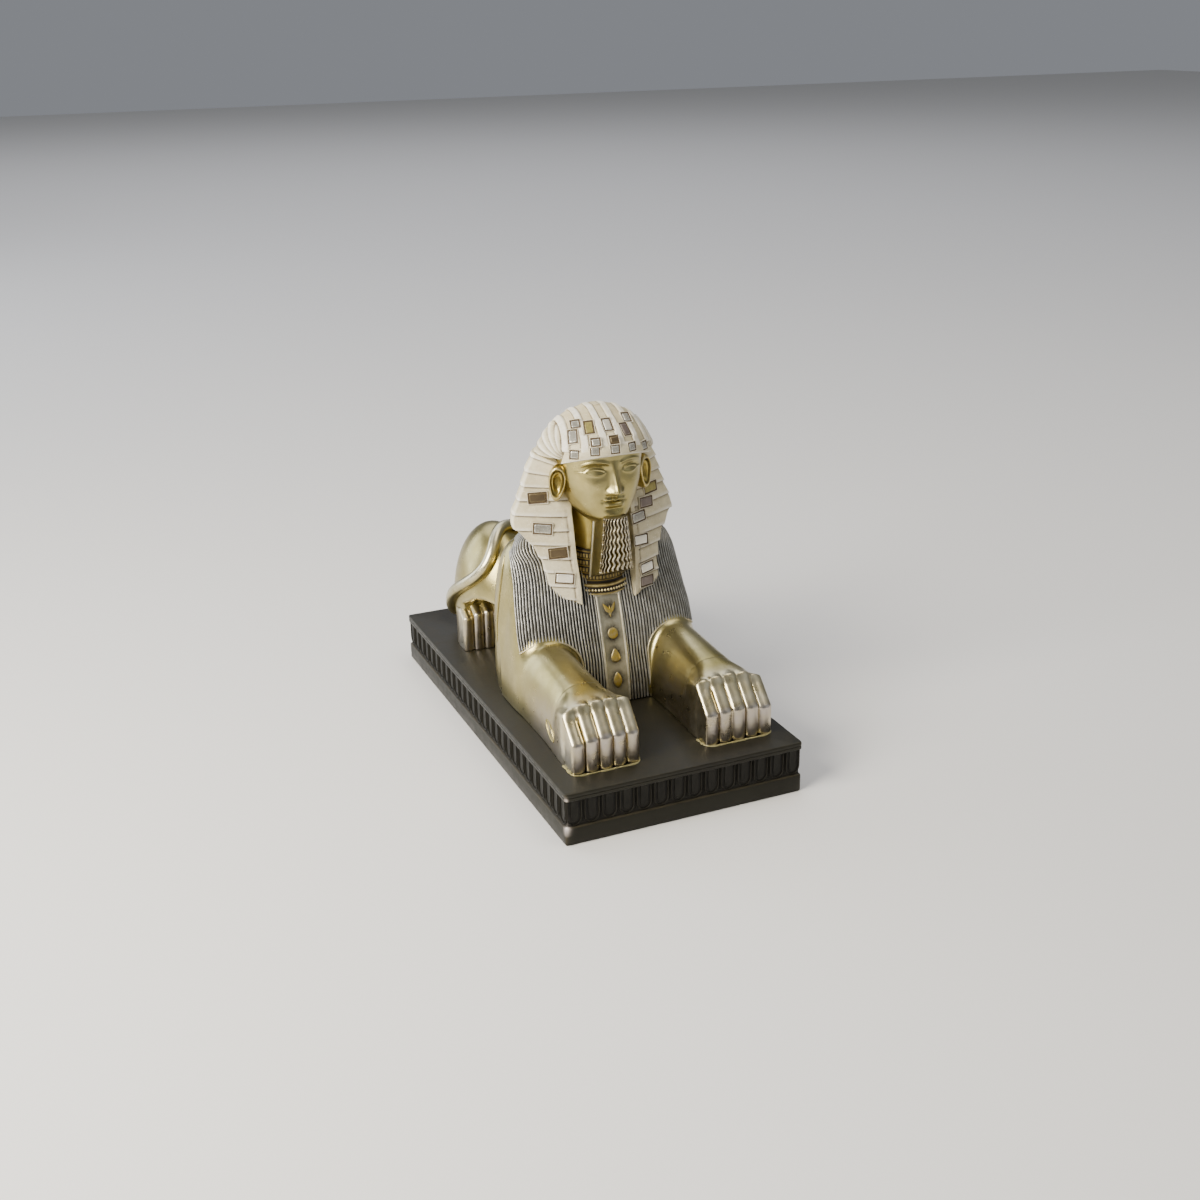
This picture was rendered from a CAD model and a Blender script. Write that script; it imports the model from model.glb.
"""The finished look of a desk-size sphinx: a cast lion in champagne gold with an ivory headdress.

Sizes are in sculpting units of one millimetre: x to the side, y along the body (the face looks
towards -y) and h above the figure's seat on the plinth. Each class below is one part of the statue.
"""

import logging
import math
from collections.abc import Callable, Sequence
from dataclasses import dataclass, field
from enum import Enum

import bmesh
import bpy
import numpy as np
from mathutils import Matrix

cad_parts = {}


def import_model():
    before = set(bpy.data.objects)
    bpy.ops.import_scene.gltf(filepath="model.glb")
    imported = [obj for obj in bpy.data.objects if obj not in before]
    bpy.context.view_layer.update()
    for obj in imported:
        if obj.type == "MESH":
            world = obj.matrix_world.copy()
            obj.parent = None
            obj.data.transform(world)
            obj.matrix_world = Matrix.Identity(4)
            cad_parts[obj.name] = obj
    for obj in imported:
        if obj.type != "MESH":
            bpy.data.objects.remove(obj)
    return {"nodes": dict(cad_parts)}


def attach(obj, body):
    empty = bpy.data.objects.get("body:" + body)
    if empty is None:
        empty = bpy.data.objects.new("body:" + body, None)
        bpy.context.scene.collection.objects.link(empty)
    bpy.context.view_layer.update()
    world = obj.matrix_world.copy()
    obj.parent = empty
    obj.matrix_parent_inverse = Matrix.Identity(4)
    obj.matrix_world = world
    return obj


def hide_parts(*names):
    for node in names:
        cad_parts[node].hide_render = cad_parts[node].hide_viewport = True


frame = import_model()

LOG = logging.getLogger("sphinx")
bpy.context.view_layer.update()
MM = 0.001
SEAT = 0.0303
PLINTH_TOP = 0.0300
Array = np.ndarray
Socket = bpy.types.NodeSocket


class Node(Enum):
    """The solids of the frame that pieces stand for."""

    FIGURE = "sphinx_figure"
    PLINTH = "plinth"


class Slot(Enum):
    """The record's material slots."""

    GOLD = "figure_gold"
    PEWTER = "plinth_patina"
    MIRROR = "mirror_glass"
    AMBER = "amber_glass"


class Side(Enum):
    """The two flanks, as the sign of x."""

    LEFT = -1
    RIGHT = 1


# Shapes as numbers


@dataclass(frozen=True)
class Curve:
    """A smooth run through (place, value) pairs, by monotone cubic pieces."""

    knots: tuple[tuple[float, float], ...]

    def __call__(self, where: Array | float) -> Array:
        """The value at each place; beyond the ends it stays at the end values.

        Args:
            where: places along the run.

        Returns:
            The values, in the shape of the places.
        """
        xs, ys = np.array(self.knots, float).T
        slopes = np.diff(ys) / np.diff(xs)
        product = slopes[:-1] * slopes[1:]
        total = np.where(product > 0, slopes[:-1] + slopes[1:], 1)
        inner = np.where(product > 0, 2 * product / total, 0)
        tangents = np.concatenate([slopes[:1], inner, slopes[-1:]])
        value = np.clip(np.asarray(where, float), xs[0], xs[-1])
        i = np.clip(np.searchsorted(xs, value, side="right") - 1, 0, len(xs) - 2)
        span = xs[i + 1] - xs[i]
        t = (value - xs[i]) / span
        low = (1 + 2 * t) * (1 - t) ** 2 * ys[i] + t * (1 - t) ** 2 * span * tangents[i]
        return low + t * t * (3 - 2 * t) * ys[i + 1] + t * t * (t - 1) * span * tangents[i + 1]


def smoothstep(low: float, high: float, value: Array) -> Array:
    """An S over the values, from 0 at low to 1 at high: 3t^2 - 2t^3."""
    t = np.clip((value - low) / (high - low), 0, 1)
    return t * t * (3 - 2 * t)


def bell(value: Array, centre: float, width: float) -> Array:
    """A bell of height 1: e to the minus ((value - centre) / width) squared."""
    return np.exp(-(((value - centre) / width) ** 2))


def melt(a: Array, b: Array, soft: float) -> Array:
    """The smaller of two distances, less a parabola of height soft / 4 where they are near equal."""
    near = np.maximum(soft - np.abs(a - b), 0) / soft
    return np.minimum(a, b) - near * near * soft / 4


def carve(a: Array, b: Array, soft: float) -> Array:
    """What is inside both: the larger distance, rounded off over soft units."""
    return -melt(-a, -b, soft)


def oval(dx: Array, dy: Array, rx: Array, ry: Array, power: Array | float) -> Array:
    """The signed depth of a superellipse: (|dx/rx|^p + |dy/ry|^p)^(1/p) - 1, times its lesser radius."""
    reach = (np.abs(dx / rx) ** power + np.abs(dy / ry) ** power) ** (1 / np.asarray(power))
    return (reach - 1) * np.minimum(rx, ry)


def egg(x: Array, y: Array, h: Array, centre: Sequence[float], radii: Sequence[float]) -> Array:
    """The signed depth of an ellipsoid: k0 (k0 - 1) / k1, with k0 = |p/r| and k1 = |p/r^2|."""
    px, py, ph = x - centre[0], y - centre[1], h - centre[2]
    rx, ry, rh = radii
    whole = np.sqrt((px / rx) ** 2 + (py / ry) ** 2 + (ph / rh) ** 2)
    steep = np.sqrt((px / rx**2) ** 2 + (py / ry**2) ** 2 + (ph / rh**2) ** 2) + 1e-9
    return whole * (whole - 1) / steep


def world(x: Array, y: Array, h: Array) -> Array:
    """Sculpting units as metres, as an array with x, y and z last."""
    x, y, h = np.broadcast_arrays(x, y, h)
    return np.stack([x * MM, y * MM, SEAT + h * MM], -1).astype(float)


def circle(count: int) -> Array:
    """Angles spaced evenly once round."""
    return np.linspace(0, 2 * np.pi, count, endpoint=False)


def unit(vectors: Array) -> Array:
    """The vectors at length 1."""
    return vectors / (np.linalg.norm(vectors, axis=-1, keepdims=True) + 1e-15)


def sweep(middle: Array, out: Array, thick: Array | float, count: int) -> Array:
    """Rings round a path, each square to it.

    Args:
        middle: the path's points.
        out: which way is outwards at each of them.
        thick: one radius, or one for each point.
        count: how many points a ring has.

    Returns:
        Points as [place on path, place on ring, xyz].
    """
    along = unit(np.gradient(middle, axis=0))
    side = unit(np.cross(along, out))
    up = np.cross(side, along)
    turn = circle(count)[None, :, None]
    ring = side[:, None] * np.cos(turn) + up[:, None] * np.sin(turn)
    return middle[:, None] + ring * np.reshape(thick, (-1, 1, 1))


# Meshes from numbers


@dataclass
class Skin:
    """Points and faces on their way into a mesh, with the marks that its finish reads."""

    points: Array
    faces: list[list[int]]
    marks: dict[str, Array] = field(default_factory=dict)

    def mark(self, name: str, values: Array) -> "Skin":
        """Keeps one number per point under a name, and gives the skin back."""
        self.marks[name] = np.broadcast_to(np.asarray(values, float).ravel(), (len(self.points),))
        return self


def quads(rows: int, columns: int, wrap_rows: bool = False, wrap_columns: bool = False) -> Array:
    """Four-sided faces over a grid of points numbered row by row.

    Args:
        rows: how many rows.
        columns: how many points in each.
        wrap_rows: whether the last row meets the first.
        wrap_columns: whether each row closes on itself.

    Returns:
        One row of four point numbers per face.
    """
    r = np.arange(rows if wrap_rows else rows - 1)[:, None]
    c = np.arange(columns if wrap_columns else columns - 1)[None, :]
    up, on = (r + 1) % rows, (c + 1) % columns
    corners = (r * columns + c, r * columns + on, up * columns + on, up * columns + c)
    return np.stack(np.broadcast_arrays(*corners), -1).reshape(-1, 4)


def tube(rings: Array, capped: bool = True) -> Skin:
    """Closed rings skinned one to the next, with a flat face on each end.

    Args:
        rings: points as [ring, place on ring, xyz].
        capped: whether the ends are closed, or the last ring meets the first.

    Returns:
        The skin.
    """
    n, m = rings.shape[:2]
    faces = quads(n, m, wrap_rows=not capped, wrap_columns=True).tolist()
    if capped:
        faces += [list(range(m))[::-1], list(range((n - 1) * m, n * m))]
    return Skin(rings.reshape(-1, 3), faces)


def plate(front: Array, back: Array) -> Skin:
    """A closed slab between two grids of the same size, joined round their rims.

    Args:
        front: the outer grid, as [row, column, xyz].
        back: the inner grid.

    Returns:
        The skin; front points come first.
    """
    n, m = front.shape[:2]
    top = quads(n, m)
    first, last = np.arange(m), np.arange(n * m - 2, (n - 1) * m - 1, -1)
    rim = np.concatenate([first, np.arange(2 * m - 1, n * m, m), last, np.arange((n - 2) * m, 0, -m)])
    following = np.roll(rim, -1)
    wall = np.stack([following, rim, rim + n * m, following + n * m], -1)
    faces = np.concatenate([top, top[:, ::-1] + n * m, wall]).tolist()
    return Skin(np.concatenate([front.reshape(-1, 3), back.reshape(-1, 3)]), faces)


def together(skins: Sequence[Skin]) -> Skin:
    """Several skins as one, each still a shell of its own.

    Args:
        skins: the skins; a mark that one lacks is 0 there.

    Returns:
        The joined skin.
    """
    names = {name for skin in skins for name in skin.marks}
    faces: list[list[int]] = []
    start = 0
    for skin in skins:
        faces += [[i + start for i in face] for face in skin.faces]
        start += len(skin.points)
    whole = Skin(np.concatenate([skin.points for skin in skins]), faces)
    for name in names:
        values = [skin.marks.get(name, np.zeros(len(skin.points))) for skin in skins]
        whole.mark(name, np.concatenate(values))
    return whole


def normals(points: Array, faces: Array) -> Array:
    """Unit normals at the points: the sum of each face's crossed diagonals, made unit length.

    Args:
        points: the points.
        faces: four point numbers per face.

    Returns:
        One unit vector per point.
    """
    corner = points[faces]
    across = np.cross(corner[:, 2] - corner[:, 0], corner[:, 3] - corner[:, 1])
    total = np.zeros_like(points)
    for k in range(4):
        for axis in range(3):
            total[:, axis] += np.bincount(faces[:, k], across[:, axis], len(points))
    return total / (np.linalg.norm(total, axis=1, keepdims=True) + 1e-20)


def hollows(points: Array, faces: Array, passes: int = 4) -> Array:
    """How hollow each point lies: its neighbours' mean less itself, along the normal, evened out.

    Args:
        points: the points.
        faces: four point numbers per face.
        passes: how often the result is averaged over the neighbours.

    Returns:
        In the points' unit: more than 0 in a hollow, less than 0 on a ridge.
    """
    pairs = np.concatenate([faces[:, [0, 1]], faces[:, [1, 2]], faces[:, [2, 3]], faces[:, [3, 0]]])
    ends = np.concatenate([pairs, pairs[:, ::-1]])
    count = np.bincount(ends[:, 0], minlength=len(points)) + 1e-9
    mean = np.stack([np.bincount(ends[:, 0], points[ends[:, 1], a], len(points)) for a in range(3)], -1)
    depth = ((mean / count[:, None] - points) * normals(points, faces)).sum(1)
    for _ in range(passes):
        depth = 0.4 * depth + 0.6 * np.bincount(ends[:, 0], depth[ends[:, 1]], len(points)) / count
    return depth


def shell_of(
    depth: Callable, low: Sequence[float], high: Sequence[float], step: float
) -> tuple[Array, Array]:
    """The surface where a signed depth is 0, by one point in each grid cell that it passes through.

    The point starts at the mean of the cell edges' crossings and is moved twice by
    depth times slope over slope squared, which puts it on the surface.

    Args:
        depth: a function of x, y and h, less than 0 inside.
        low: the lowest corner of the grid.
        high: the highest corner of the grid.
        step: the size of a cell.

    Returns:
        The points in sculpting units, and four point numbers per face, outwards.
    """
    axes = [np.arange(a, b + step, step) for a, b in zip(low, high)]
    value = np.asarray(depth(*np.meshgrid(*axes, indexing="ij", sparse=True)), np.float32)
    inside = value < 0
    cells = tuple(n - 1 for n in value.shape)
    count = np.zeros(cells, np.int8)
    corners = [(i, j, k) for i in (0, 1) for j in (0, 1) for k in (0, 1)]
    for i, j, k in corners:
        count += inside[i : cells[0] + i, j : cells[1] + j, k : cells[2] + k]
    active = (count > 0) & (count < 8)
    number = np.full(cells, -1)
    number[active] = np.arange(active.sum())
    cell = np.argwhere(active)
    total, hits = np.zeros((len(cell), 3)), np.zeros(len(cell))
    for axis in range(3):
        for corner in corners:
            if corner[axis]:
                continue
            start = cell + corner
            end = start.copy()
            end[:, axis] += 1
            a, b = value[tuple(start.T)], value[tuple(end.T)]
            cross = (a < 0) != (b < 0)
            spot = start[cross].astype(float)
            spot[:, axis] += a[cross] / (a[cross] - b[cross])
            total[cross] += spot
            hits[cross] += 1
    points = total / hits[:, None] * step + np.array(low)
    found = []
    for axis, b, c in ((0, 1, 2), (1, 2, 0), (2, 0, 1)):
        ahead = np.roll(inside, -1, axis)
        changes = np.argwhere(inside != ahead)
        size = np.array(value.shape)
        kept = (changes[:, axis] < size[axis] - 1) & (changes[:, b] > 0) & (changes[:, c] > 0)
        kept &= (changes[:, b] < size[b] - 1) & (changes[:, c] < size[c] - 1)
        spot = changes[kept]
        eb, ec = np.eye(3, dtype=int)[b], np.eye(3, dtype=int)[c]
        face = np.stack([number[tuple((spot - move).T)] for move in (eb + ec, ec, 0 * eb, eb)], -1)
        leaves = inside[tuple(spot.T)]
        found.append(np.where(leaves[:, None], face, face[:, ::-1]))
    nudge = 0.05
    for _ in range(2):
        here = np.asarray(depth(*points.T), float)
        both = [depth(*(points + s).T) - depth(*(points - s).T) for s in np.eye(3) * nudge]
        slope = np.stack(both, -1) / (2 * nudge)
        move = here[:, None] * slope / ((slope**2).sum(1, keepdims=True) + 1e-6)
        points -= np.clip(move, -0.4 * step, 0.4 * step)
    return points, np.concatenate(found)


def piece(
    name: str,
    skin: Skin,
    finish: "Finish",
    node: Node | str = Node.FIGURE,
    sharp: float = 50.0,
    sealed: bool = True,
) -> bpy.types.Object:
    """Puts a skin into the scene as a piece of the statue.

    Args:
        name: the piece's name.
        skin: its points, faces and marks, in metres.
        finish: the finish that it wears.
        node: the solid that it stands for.
        sharp: the angle in degrees over which an edge is shaded as an edge.
        sealed: whether doubled points are merged and faces turned outwards.

    Returns:
        The object, at the origin.
    """
    mesh = bpy.data.meshes.new(name)
    mesh.from_pydata(skin.points.tolist(), [], skin.faces)
    for mark, values in skin.marks.items():
        mesh.attributes.new(mark, "FLOAT", "POINT").data.foreach_set("value", values.astype(np.float32))
    if sealed:
        shape = bmesh.new()
        shape.from_mesh(mesh)
        bmesh.ops.remove_doubles(shape, verts=shape.verts, dist=2e-6)
        bmesh.ops.dissolve_degenerate(shape, edges=shape.edges, dist=1e-7)
        bmesh.ops.recalc_face_normals(shape, faces=shape.faces)
        shape.to_mesh(mesh)
        shape.free()
    mesh.polygons.foreach_set("use_smooth", np.ones(len(mesh.polygons), bool))
    mesh.set_sharp_from_angle(angle=math.radians(sharp))
    made = bpy.data.objects.new(name, mesh)
    bpy.context.scene.collection.objects.link(made)
    mesh.materials.append(finish.material())
    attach(made, "root")
    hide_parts(node.value if isinstance(node, Node) else node)
    LOG.info("%s: %d faces", name, len(mesh.polygons))
    return made


# Finishes


def paint(code: str) -> tuple[float, float, float, float]:
    """A colour written as six hex digits, as linear red, green and blue with a 1 behind them."""
    shares = np.array([int(code[i : i + 2], 16) for i in (0, 2, 4)]) / 255
    linear = np.where(shares <= 0.04045, shares / 12.92, ((shares + 0.055) / 1.055) ** 2.4)
    return (float(linear[0]), float(linear[1]), float(linear[2]), 1.0)


class Sheet:
    """A material's node tree, with a short way to add nodes to it."""

    def __init__(self, name: str) -> None:
        """Starts the material under its name."""
        self.material = bpy.data.materials.new(name)
        self.material.use_nodes = True
        self.tree = self.material.node_tree
        self.shader = self.tree.nodes["Principled BSDF"]

    def add(self, kind: str, sockets: dict[int | str, object], **settings: object) -> bpy.types.Node:
        """Adds a node.

        Args:
            kind: the node's type.
            sockets: what each input gets: another node's output, or a constant.
            settings: the node's own properties.

        Returns:
            The node.
        """
        node = self.tree.nodes.new(kind)
        for key, value in settings.items():
            setattr(node, key, value)
        for key, value in sockets.items():
            if isinstance(value, Socket):
                self.tree.links.new(value, node.inputs[key])
            else:
                node.inputs[key].default_value = value
        return node

    def noise(self, place: Socket, scale: float, detail: float, rough: float = 0.55) -> Socket:
        """A cloudy pattern of the given scale over the place, from 0 to 1."""
        sockets = {"Vector": place, "Scale": scale, "Detail": detail, "Roughness": rough}
        return self.add("ShaderNodeTexNoise", sockets).outputs[0]

    def span(
        self, value: Socket, start: float, end: float, low: float = 0.0, high: float = 1.0
    ) -> Socket:
        """The value from start to end, stretched to run from low to high and held there."""
        sockets = {"Value": value, "From Min": start, "From Max": end, "To Min": low, "To Max": high}
        return self.add("ShaderNodeMapRange", sockets).outputs[0]

    def maths(self, operation: str, a: object, b: object) -> Socket:
        """One sum on two numbers."""
        return self.add("ShaderNodeMath", {0: a, 1: b}, operation=operation, use_clamp=True).outputs[0]

    def blend(self, share: object, below: object, above: object) -> Socket:
        """A colour between two, by share."""
        return self.add("ShaderNodeMix", {0: share, 6: below, 7: above}, data_type="RGBA").outputs[2]


@dataclass(frozen=True)
class Finish:
    """One finish of the casting: a ground colour with patina in its hollows and wear on its ridges.

    The marks "deep", "edge", "tint" and "silver" on a mesh say where the hollows, the worn ridges,
    the second paint and the bare silver are.
    """

    name: str
    slot: Slot
    ground: str
    cloud: str
    deep: str
    edge: str
    tint: str
    metallic: float
    rough: tuple[float, float]
    cloud_scale: float = 35.0
    grain_scale: float = 900.0
    grain_depth: float = 0.00008
    coat: float = 0.0
    speckle: float = 0.0
    silver: str = "b9b0a9"
    shine: float = 0.5

    def material(self) -> bpy.types.Material:
        """The finish as a material, made on first use."""
        if self.name in bpy.data.materials:
            return bpy.data.materials[self.name]
        sheet = Sheet(self.name)
        place = sheet.add("ShaderNodeTexCoord", {}).outputs["Object"]
        broad = sheet.noise(place, self.cloud_scale, 4.0)
        middle = sheet.noise(place, self.cloud_scale * 6, 4.0, 0.65)
        fine = sheet.noise(place, self.grain_scale, 2.0)
        marks = {
            name: sheet.add("ShaderNodeAttribute", {}, attribute_name=name).outputs["Fac"]
            for name in ("deep", "edge", "tint", "silver")
        }
        colour = sheet.blend(sheet.span(broad, 0.35, 0.68), paint(self.ground), paint(self.cloud))
        colour = sheet.blend(sheet.span(middle, 0.3, 0.8, 0.0, 0.22), colour, paint(self.deep))
        uneven = sheet.span(middle, 0.25, 0.7, 0.55, 1.25)
        for name, coat in (("silver", self.silver), ("tint", self.tint), ("deep", self.deep)):
            colour = sheet.blend(sheet.maths("MULTIPLY", marks[name], uneven), colour, paint(coat))
        worn = sheet.maths("MULTIPLY", marks["edge"], sheet.span(middle, 0.35, 0.62, 0.35, 1.0))
        colour = sheet.blend(worn, colour, paint(self.edge))
        if self.speckle:
            dust = sheet.span(fine, 0.62, 0.74, 0.0, self.speckle)
            colour = sheet.blend(dust, colour, paint(self.edge))
        sheet.tree.links.new(colour, sheet.shader.inputs["Base Color"])
        rough = sheet.span(middle, 0.25, 0.75, *self.rough)
        settled = sheet.maths("ADD", rough, sheet.maths("MULTIPLY", marks["deep"], 0.22))
        sheet.tree.links.new(settled, sheet.shader.inputs["Roughness"])
        halves = [sheet.maths("MULTIPLY", noise, 0.5) for noise in (fine, middle)]
        height = sheet.maths("ADD", *halves)
        bump = sheet.add("ShaderNodeBump", {"Height": height, "Distance": self.grain_depth, "Strength": 0.8})
        sheet.tree.links.new(bump.outputs[0], sheet.shader.inputs["Normal"])
        sheet.shader.inputs["Metallic"].default_value = self.metallic
        sheet.shader.inputs["Specular IOR Level"].default_value = self.shine
        if self.coat:
            sheet.shader.inputs["Coat Weight"].default_value = self.coat
            sheet.shader.inputs["Coat Roughness"].default_value = 0.12
        return sheet.material


GOLD = Finish(
    "champagne_gold", Slot.GOLD, "b9ad7c", "9a8d52", "453814", "f3efdc", "c9aa3a", 1.0, (0.25, 0.36), 26.0
)
IVORY = Finish(
    "ivory_cloth", Slot.GOLD, "d5cbaa", "c2b590", "4a371d", "f2ede2", "b09a55", 0.0, (0.45, 0.62), 45.0,
    grain_depth=0.00016, speckle=0.35,
)
CAPE = Finish(
    "silvered_cape", Slot.GOLD, "8f8c80", "757060", "14110c", "e6e4dc", "8d97a5", 0.85, (0.32, 0.48), 50.0
)
DARK_GILT = Finish(
    "blackened_gilt", Slot.GOLD, "1f1a12", "2a2317", "0c0a07", "e6d9ac", "b0943c", 0.6, (0.32, 0.5), 60.0
)
STRIP = Finish(
    "worn_pewter", Slot.GOLD, "bfb89f", "a39c82", "2a2416", "e0dac6", "b3983c", 0.85, (0.36, 0.52), 70.0
)
PEWTER = Finish(
    "dark_pewter", Slot.PEWTER, "1d1c11", "17150c", "080704", "4a4230", "cfc4bc", 0.25, (0.36, 0.5), 22.0,
    shine=0.3,
)
SLOT_DARK = Finish(
    "tile_recess", Slot.GOLD, "43331f", "54422c", "1c140c", "6d5a3c", "8d7045", 0.1, (0.55, 0.7), 60.0
)
MIRROR = Finish(
    "mirror_slip", Slot.MIRROR, "a8a598", "8d897d", "5a554b", "e2dfd3", "efe9d8", 0.4, (0.18, 0.32), 90.0,
    coat=0.2,
)
AMBER = Finish(
    "amber_slip", Slot.AMBER, "584a33", "493c28", "2c2010", "8a7a55", "958a4a", 0.4, (0.3, 0.45), 90.0
)
SMOKY_GLASS = Finish(
    "smoky_glass", Slot.AMBER, "7f7169", "675b53", "3a322c", "a89c8e", "8f8444", 0.4, (0.3, 0.45), 90.0
)
PALE_GLASS = Finish(
    "pale_glass", Slot.MIRROR, "f1ecdd", "e2dac2", "a2946f", "fffdf4", "d7c9a0", 0.35, (0.12, 0.25), 90.0,
    coat=0.6,
)
FOOT_LINE = Finish(
    "foot_line", Slot.GOLD, "c9c08f", "b5aa70", "5a5032", "eeead2", "c9ad35", 0.8, (0.35, 0.5), 80.0
)


# The lion

PAW_SPAN = {Side.LEFT: (19, 58.2), Side.RIGHT: (20, 60.6)}


@dataclass
class Lion:
    """The recumbent body: masses melted together, with the paws carved finer as pieces of their own."""

    half_width: Curve = Curve(
        (
            (0, 55.5), (30, 55.8), (45, 54.8), (55, 53.6), (70, 52.0), (78, 50.6), (86, 47.4), (92, 42),
            (97, 32),
            (100.5, 18),
        )
    )
    squareness: Curve = Curve(((0, 5.6), (45, 5.0), (60, 3.8), (75, 2.9), (90, 2.4), (100, 2.1)))
    axis: float = -8.0
    back: float = 26.0
    barrel_half: Curve = Curve(
        ((-10, 40), (10, 42), (30, 41), (50, 40), (70, 40), (90, 36), (104, 27), (113, 14))
    )
    barrel_high: Curve = Curve(
        ((-10, 84), (10, 84), (30, 80), (50, 76), (70, 76), (90, 73), (104, 64), (113, 48))
    )
    leg_centre: float = 39.0
    leg_half: Curve = Curve(((-104, 19.3), (-96, 19.1), (-88, 18.7), (-70, 18.3), (-45, 18.3), (-10, 17.8)))
    leg_high: Curve = Curve(((-104, 32.6), (-96, 34.6), (-88, 36.2), (-70, 38), (-45, 40), (-10, 42)))
    leg_square: Curve = Curve(((-104, 5.2), (-98, 4.2), (-88, 2.8), (-70, 2.6), (-45, 2.5), (-10, 2.4)))
    foot_centre: Curve = Curve(((62, 39.5), (72, 39), (86, 36.5), (100, 34)))
    foot_half: Curve = Curve(((62, 15.5), (72, 14.5), (86, 13), (100, 10)))
    foot_high: Curve = Curve(((62, 24), (72, 28), (86, 26), (100, 20)))
    thigh_under: Curve = Curve(((34, 29), (40, 34.5), (48, 37), (54, 36), (60, 32.5), (66.5, 29)))
    fore_top: tuple[tuple[float, float], ...] = ((-118.5, 18), (-104.6, 33.4), (-99, 31.5), (-90, 27))
    rear_top: tuple[tuple[float, float], ...] = ((58.5, 24), (67, 29.5), (76, 27))
    fore_front: float = -118.5
    rear_front: float = 58.5
    toes: int = 5
    handover: tuple[float, float] = (-88.0, -81.5)

    def chest_front(self, h: Array) -> Array:
        """Where the chest's front stands: upright at the foot, leaning back with height to the 1.6."""
        return -47.0 + 16.0 * (np.maximum(h, 0) / 65.0) ** 1.6

    def shoulders(self, x: Array, y: Array, h: Array) -> Array:
        """Plan ovals stacked on the plinth, squarer in front than behind, under a flat top."""
        away = y - self.axis
        reach = np.where(away < 0, self.axis - self.chest_front(h), self.back)
        power = np.where(away < 0, self.squareness(h), 2.3)
        return carve(oval(x, away, self.half_width(h), reach, power), h - 100.5, 2)

    def foreleg(self, x: Array, y: Array, h: Array) -> Array:
        """A rounded arch along each foreleg, closed in front of the paw's knuckles."""
        off, up = np.abs(x) - self.leg_centre, np.maximum(h, 0)
        arch = oval(off, up, self.leg_half(y), self.leg_high(y), self.leg_square(y))
        return np.maximum(carve(arch, -105.6 - y, 3), y + 10)

    def masses(self, x: Array, y: Array, h: Array) -> Array:
        """Barrel, shoulders, legs and haunches melted together, less the hollows under the thighs.

        Args:
            x, y, h: the points.

        Returns:
            The signed depth, less than 0 inside.
        """
        wide, up = np.abs(x), np.maximum(h, 0)
        body = carve(oval(x, up, self.barrel_half(y), self.barrel_high(y), 2.3), y - 113, 4)
        body = carve(body, -12 - y, 2)
        body = melt(body, self.shoulders(x, y, h), 5)
        body = melt(body, self.foreleg(x, y, h), 4)
        body = melt(body, egg(wide, y, h, (42.6, -1, 42), (12.8, 17, 48)), 4)
        body = melt(body, egg(wide, y, h, (40, -2, 14), (15.5, 22, 32)), 4)
        thigh, rump = (
            egg(wide, y, h, (29, 72, 26), (25.5, 38, 51)), egg(wide, y, h, (20, 94, 22), (22, 23.5, 44))
        )
        body = melt(body, melt(thigh, rump, 6), 3)
        hollow = np.maximum(np.maximum(34 - y, y - 66.5), np.maximum(h - self.thigh_under(y), 24 - wide))
        return carve(body, -hollow, 2.5)

    def whole(self, x: Array, y: Array, h: Array) -> Array:
        """The body with its flat seat, drawn in a hair where the finer paws take over."""
        under_paw = 0.12 * (1 - smoothstep(-86.5, -84.5, y))
        return np.maximum(np.maximum(self.masses(x, y, h) + under_paw, -h), self.handover[0] - y)

    def slope(self, points: Array) -> Array:
        """How the depth of the masses grows at each point, by small steps each way."""
        step = 0.4
        both = [self.masses(*(points + s).T) - self.masses(*(points - s).T) for s in np.eye(3) * step]
        return np.stack(both, -1) / (2 * step)

    def onto_skin(self, points: Array, passes: int) -> Array:
        """The points moved onto the skin, on each pass by depth times slope over slope squared."""
        for _ in range(passes):
            slope = self.slope(points)
            steep = (slope**2).sum(1, keepdims=True) + 1e-6
            points = points - self.masses(*points.T)[:, None] * slope / steep
        return points

    def toe_row(
        self,
        x: Array,
        y: Array,
        h: Array,
        span: tuple[float, float],
        curve: float,
        top: Sequence,
        front: float,
        rear: float,
    ) -> Array:
        """Toes side by side: rounded bars under a bent top line, lower at the sides, drawn back by curve.

        Args:
            x, y, h: the points, with x counted outwards.
            span: x of the inner and of the outer side.
            curve: how far the outermost toes stand back.
            top: (y, height) corners of the top line.
            front: y of the toes' front.
            rear: y where they end inside the paw.

        Returns:
            The signed depth of the row.
        """
        width = (span[1] - span[0]) / self.toes
        row, rounding = np.array(99.0), 0.9
        knots, heights = np.array(top, float).T
        for i in range(self.toes):
            place = (i + 0.5) / self.toes * 2 - 1
            back = curve * place**2
            droop = 1 - (0.17 if place > 0 else 0.06) * place**2
            off = np.abs(x - span[0] - (i + 0.5) * width)
            arch = np.minimum(off / (width / 2), 1) ** 2.2
            side = off - (width / 2 - 0.1 - rounding) + 0.16 * np.maximum(y - top[1][0] - 3, 0)
            lid = (h - (np.interp(y - back, knots, heights) * droop - 1.9 * arch - rounding)) * 0.8
            end = np.maximum((front + back + 1.5 * arch + rounding) - y, y - rear + rounding)
            corner = np.sqrt(np.maximum(side, 0) ** 2 + np.maximum(lid, 0) ** 2 + np.maximum(end, 0) ** 2)
            bar = corner + np.minimum(np.maximum(side, np.maximum(lid, end)), 0) - rounding
            row = melt(row, bar, 0.35)
        return row

    def fore_paw(self, side: Side) -> Callable:
        """The signed depth of one fore paw with its toes."""
        curve = 1.2 if side is Side.LEFT else 0.4

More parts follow.
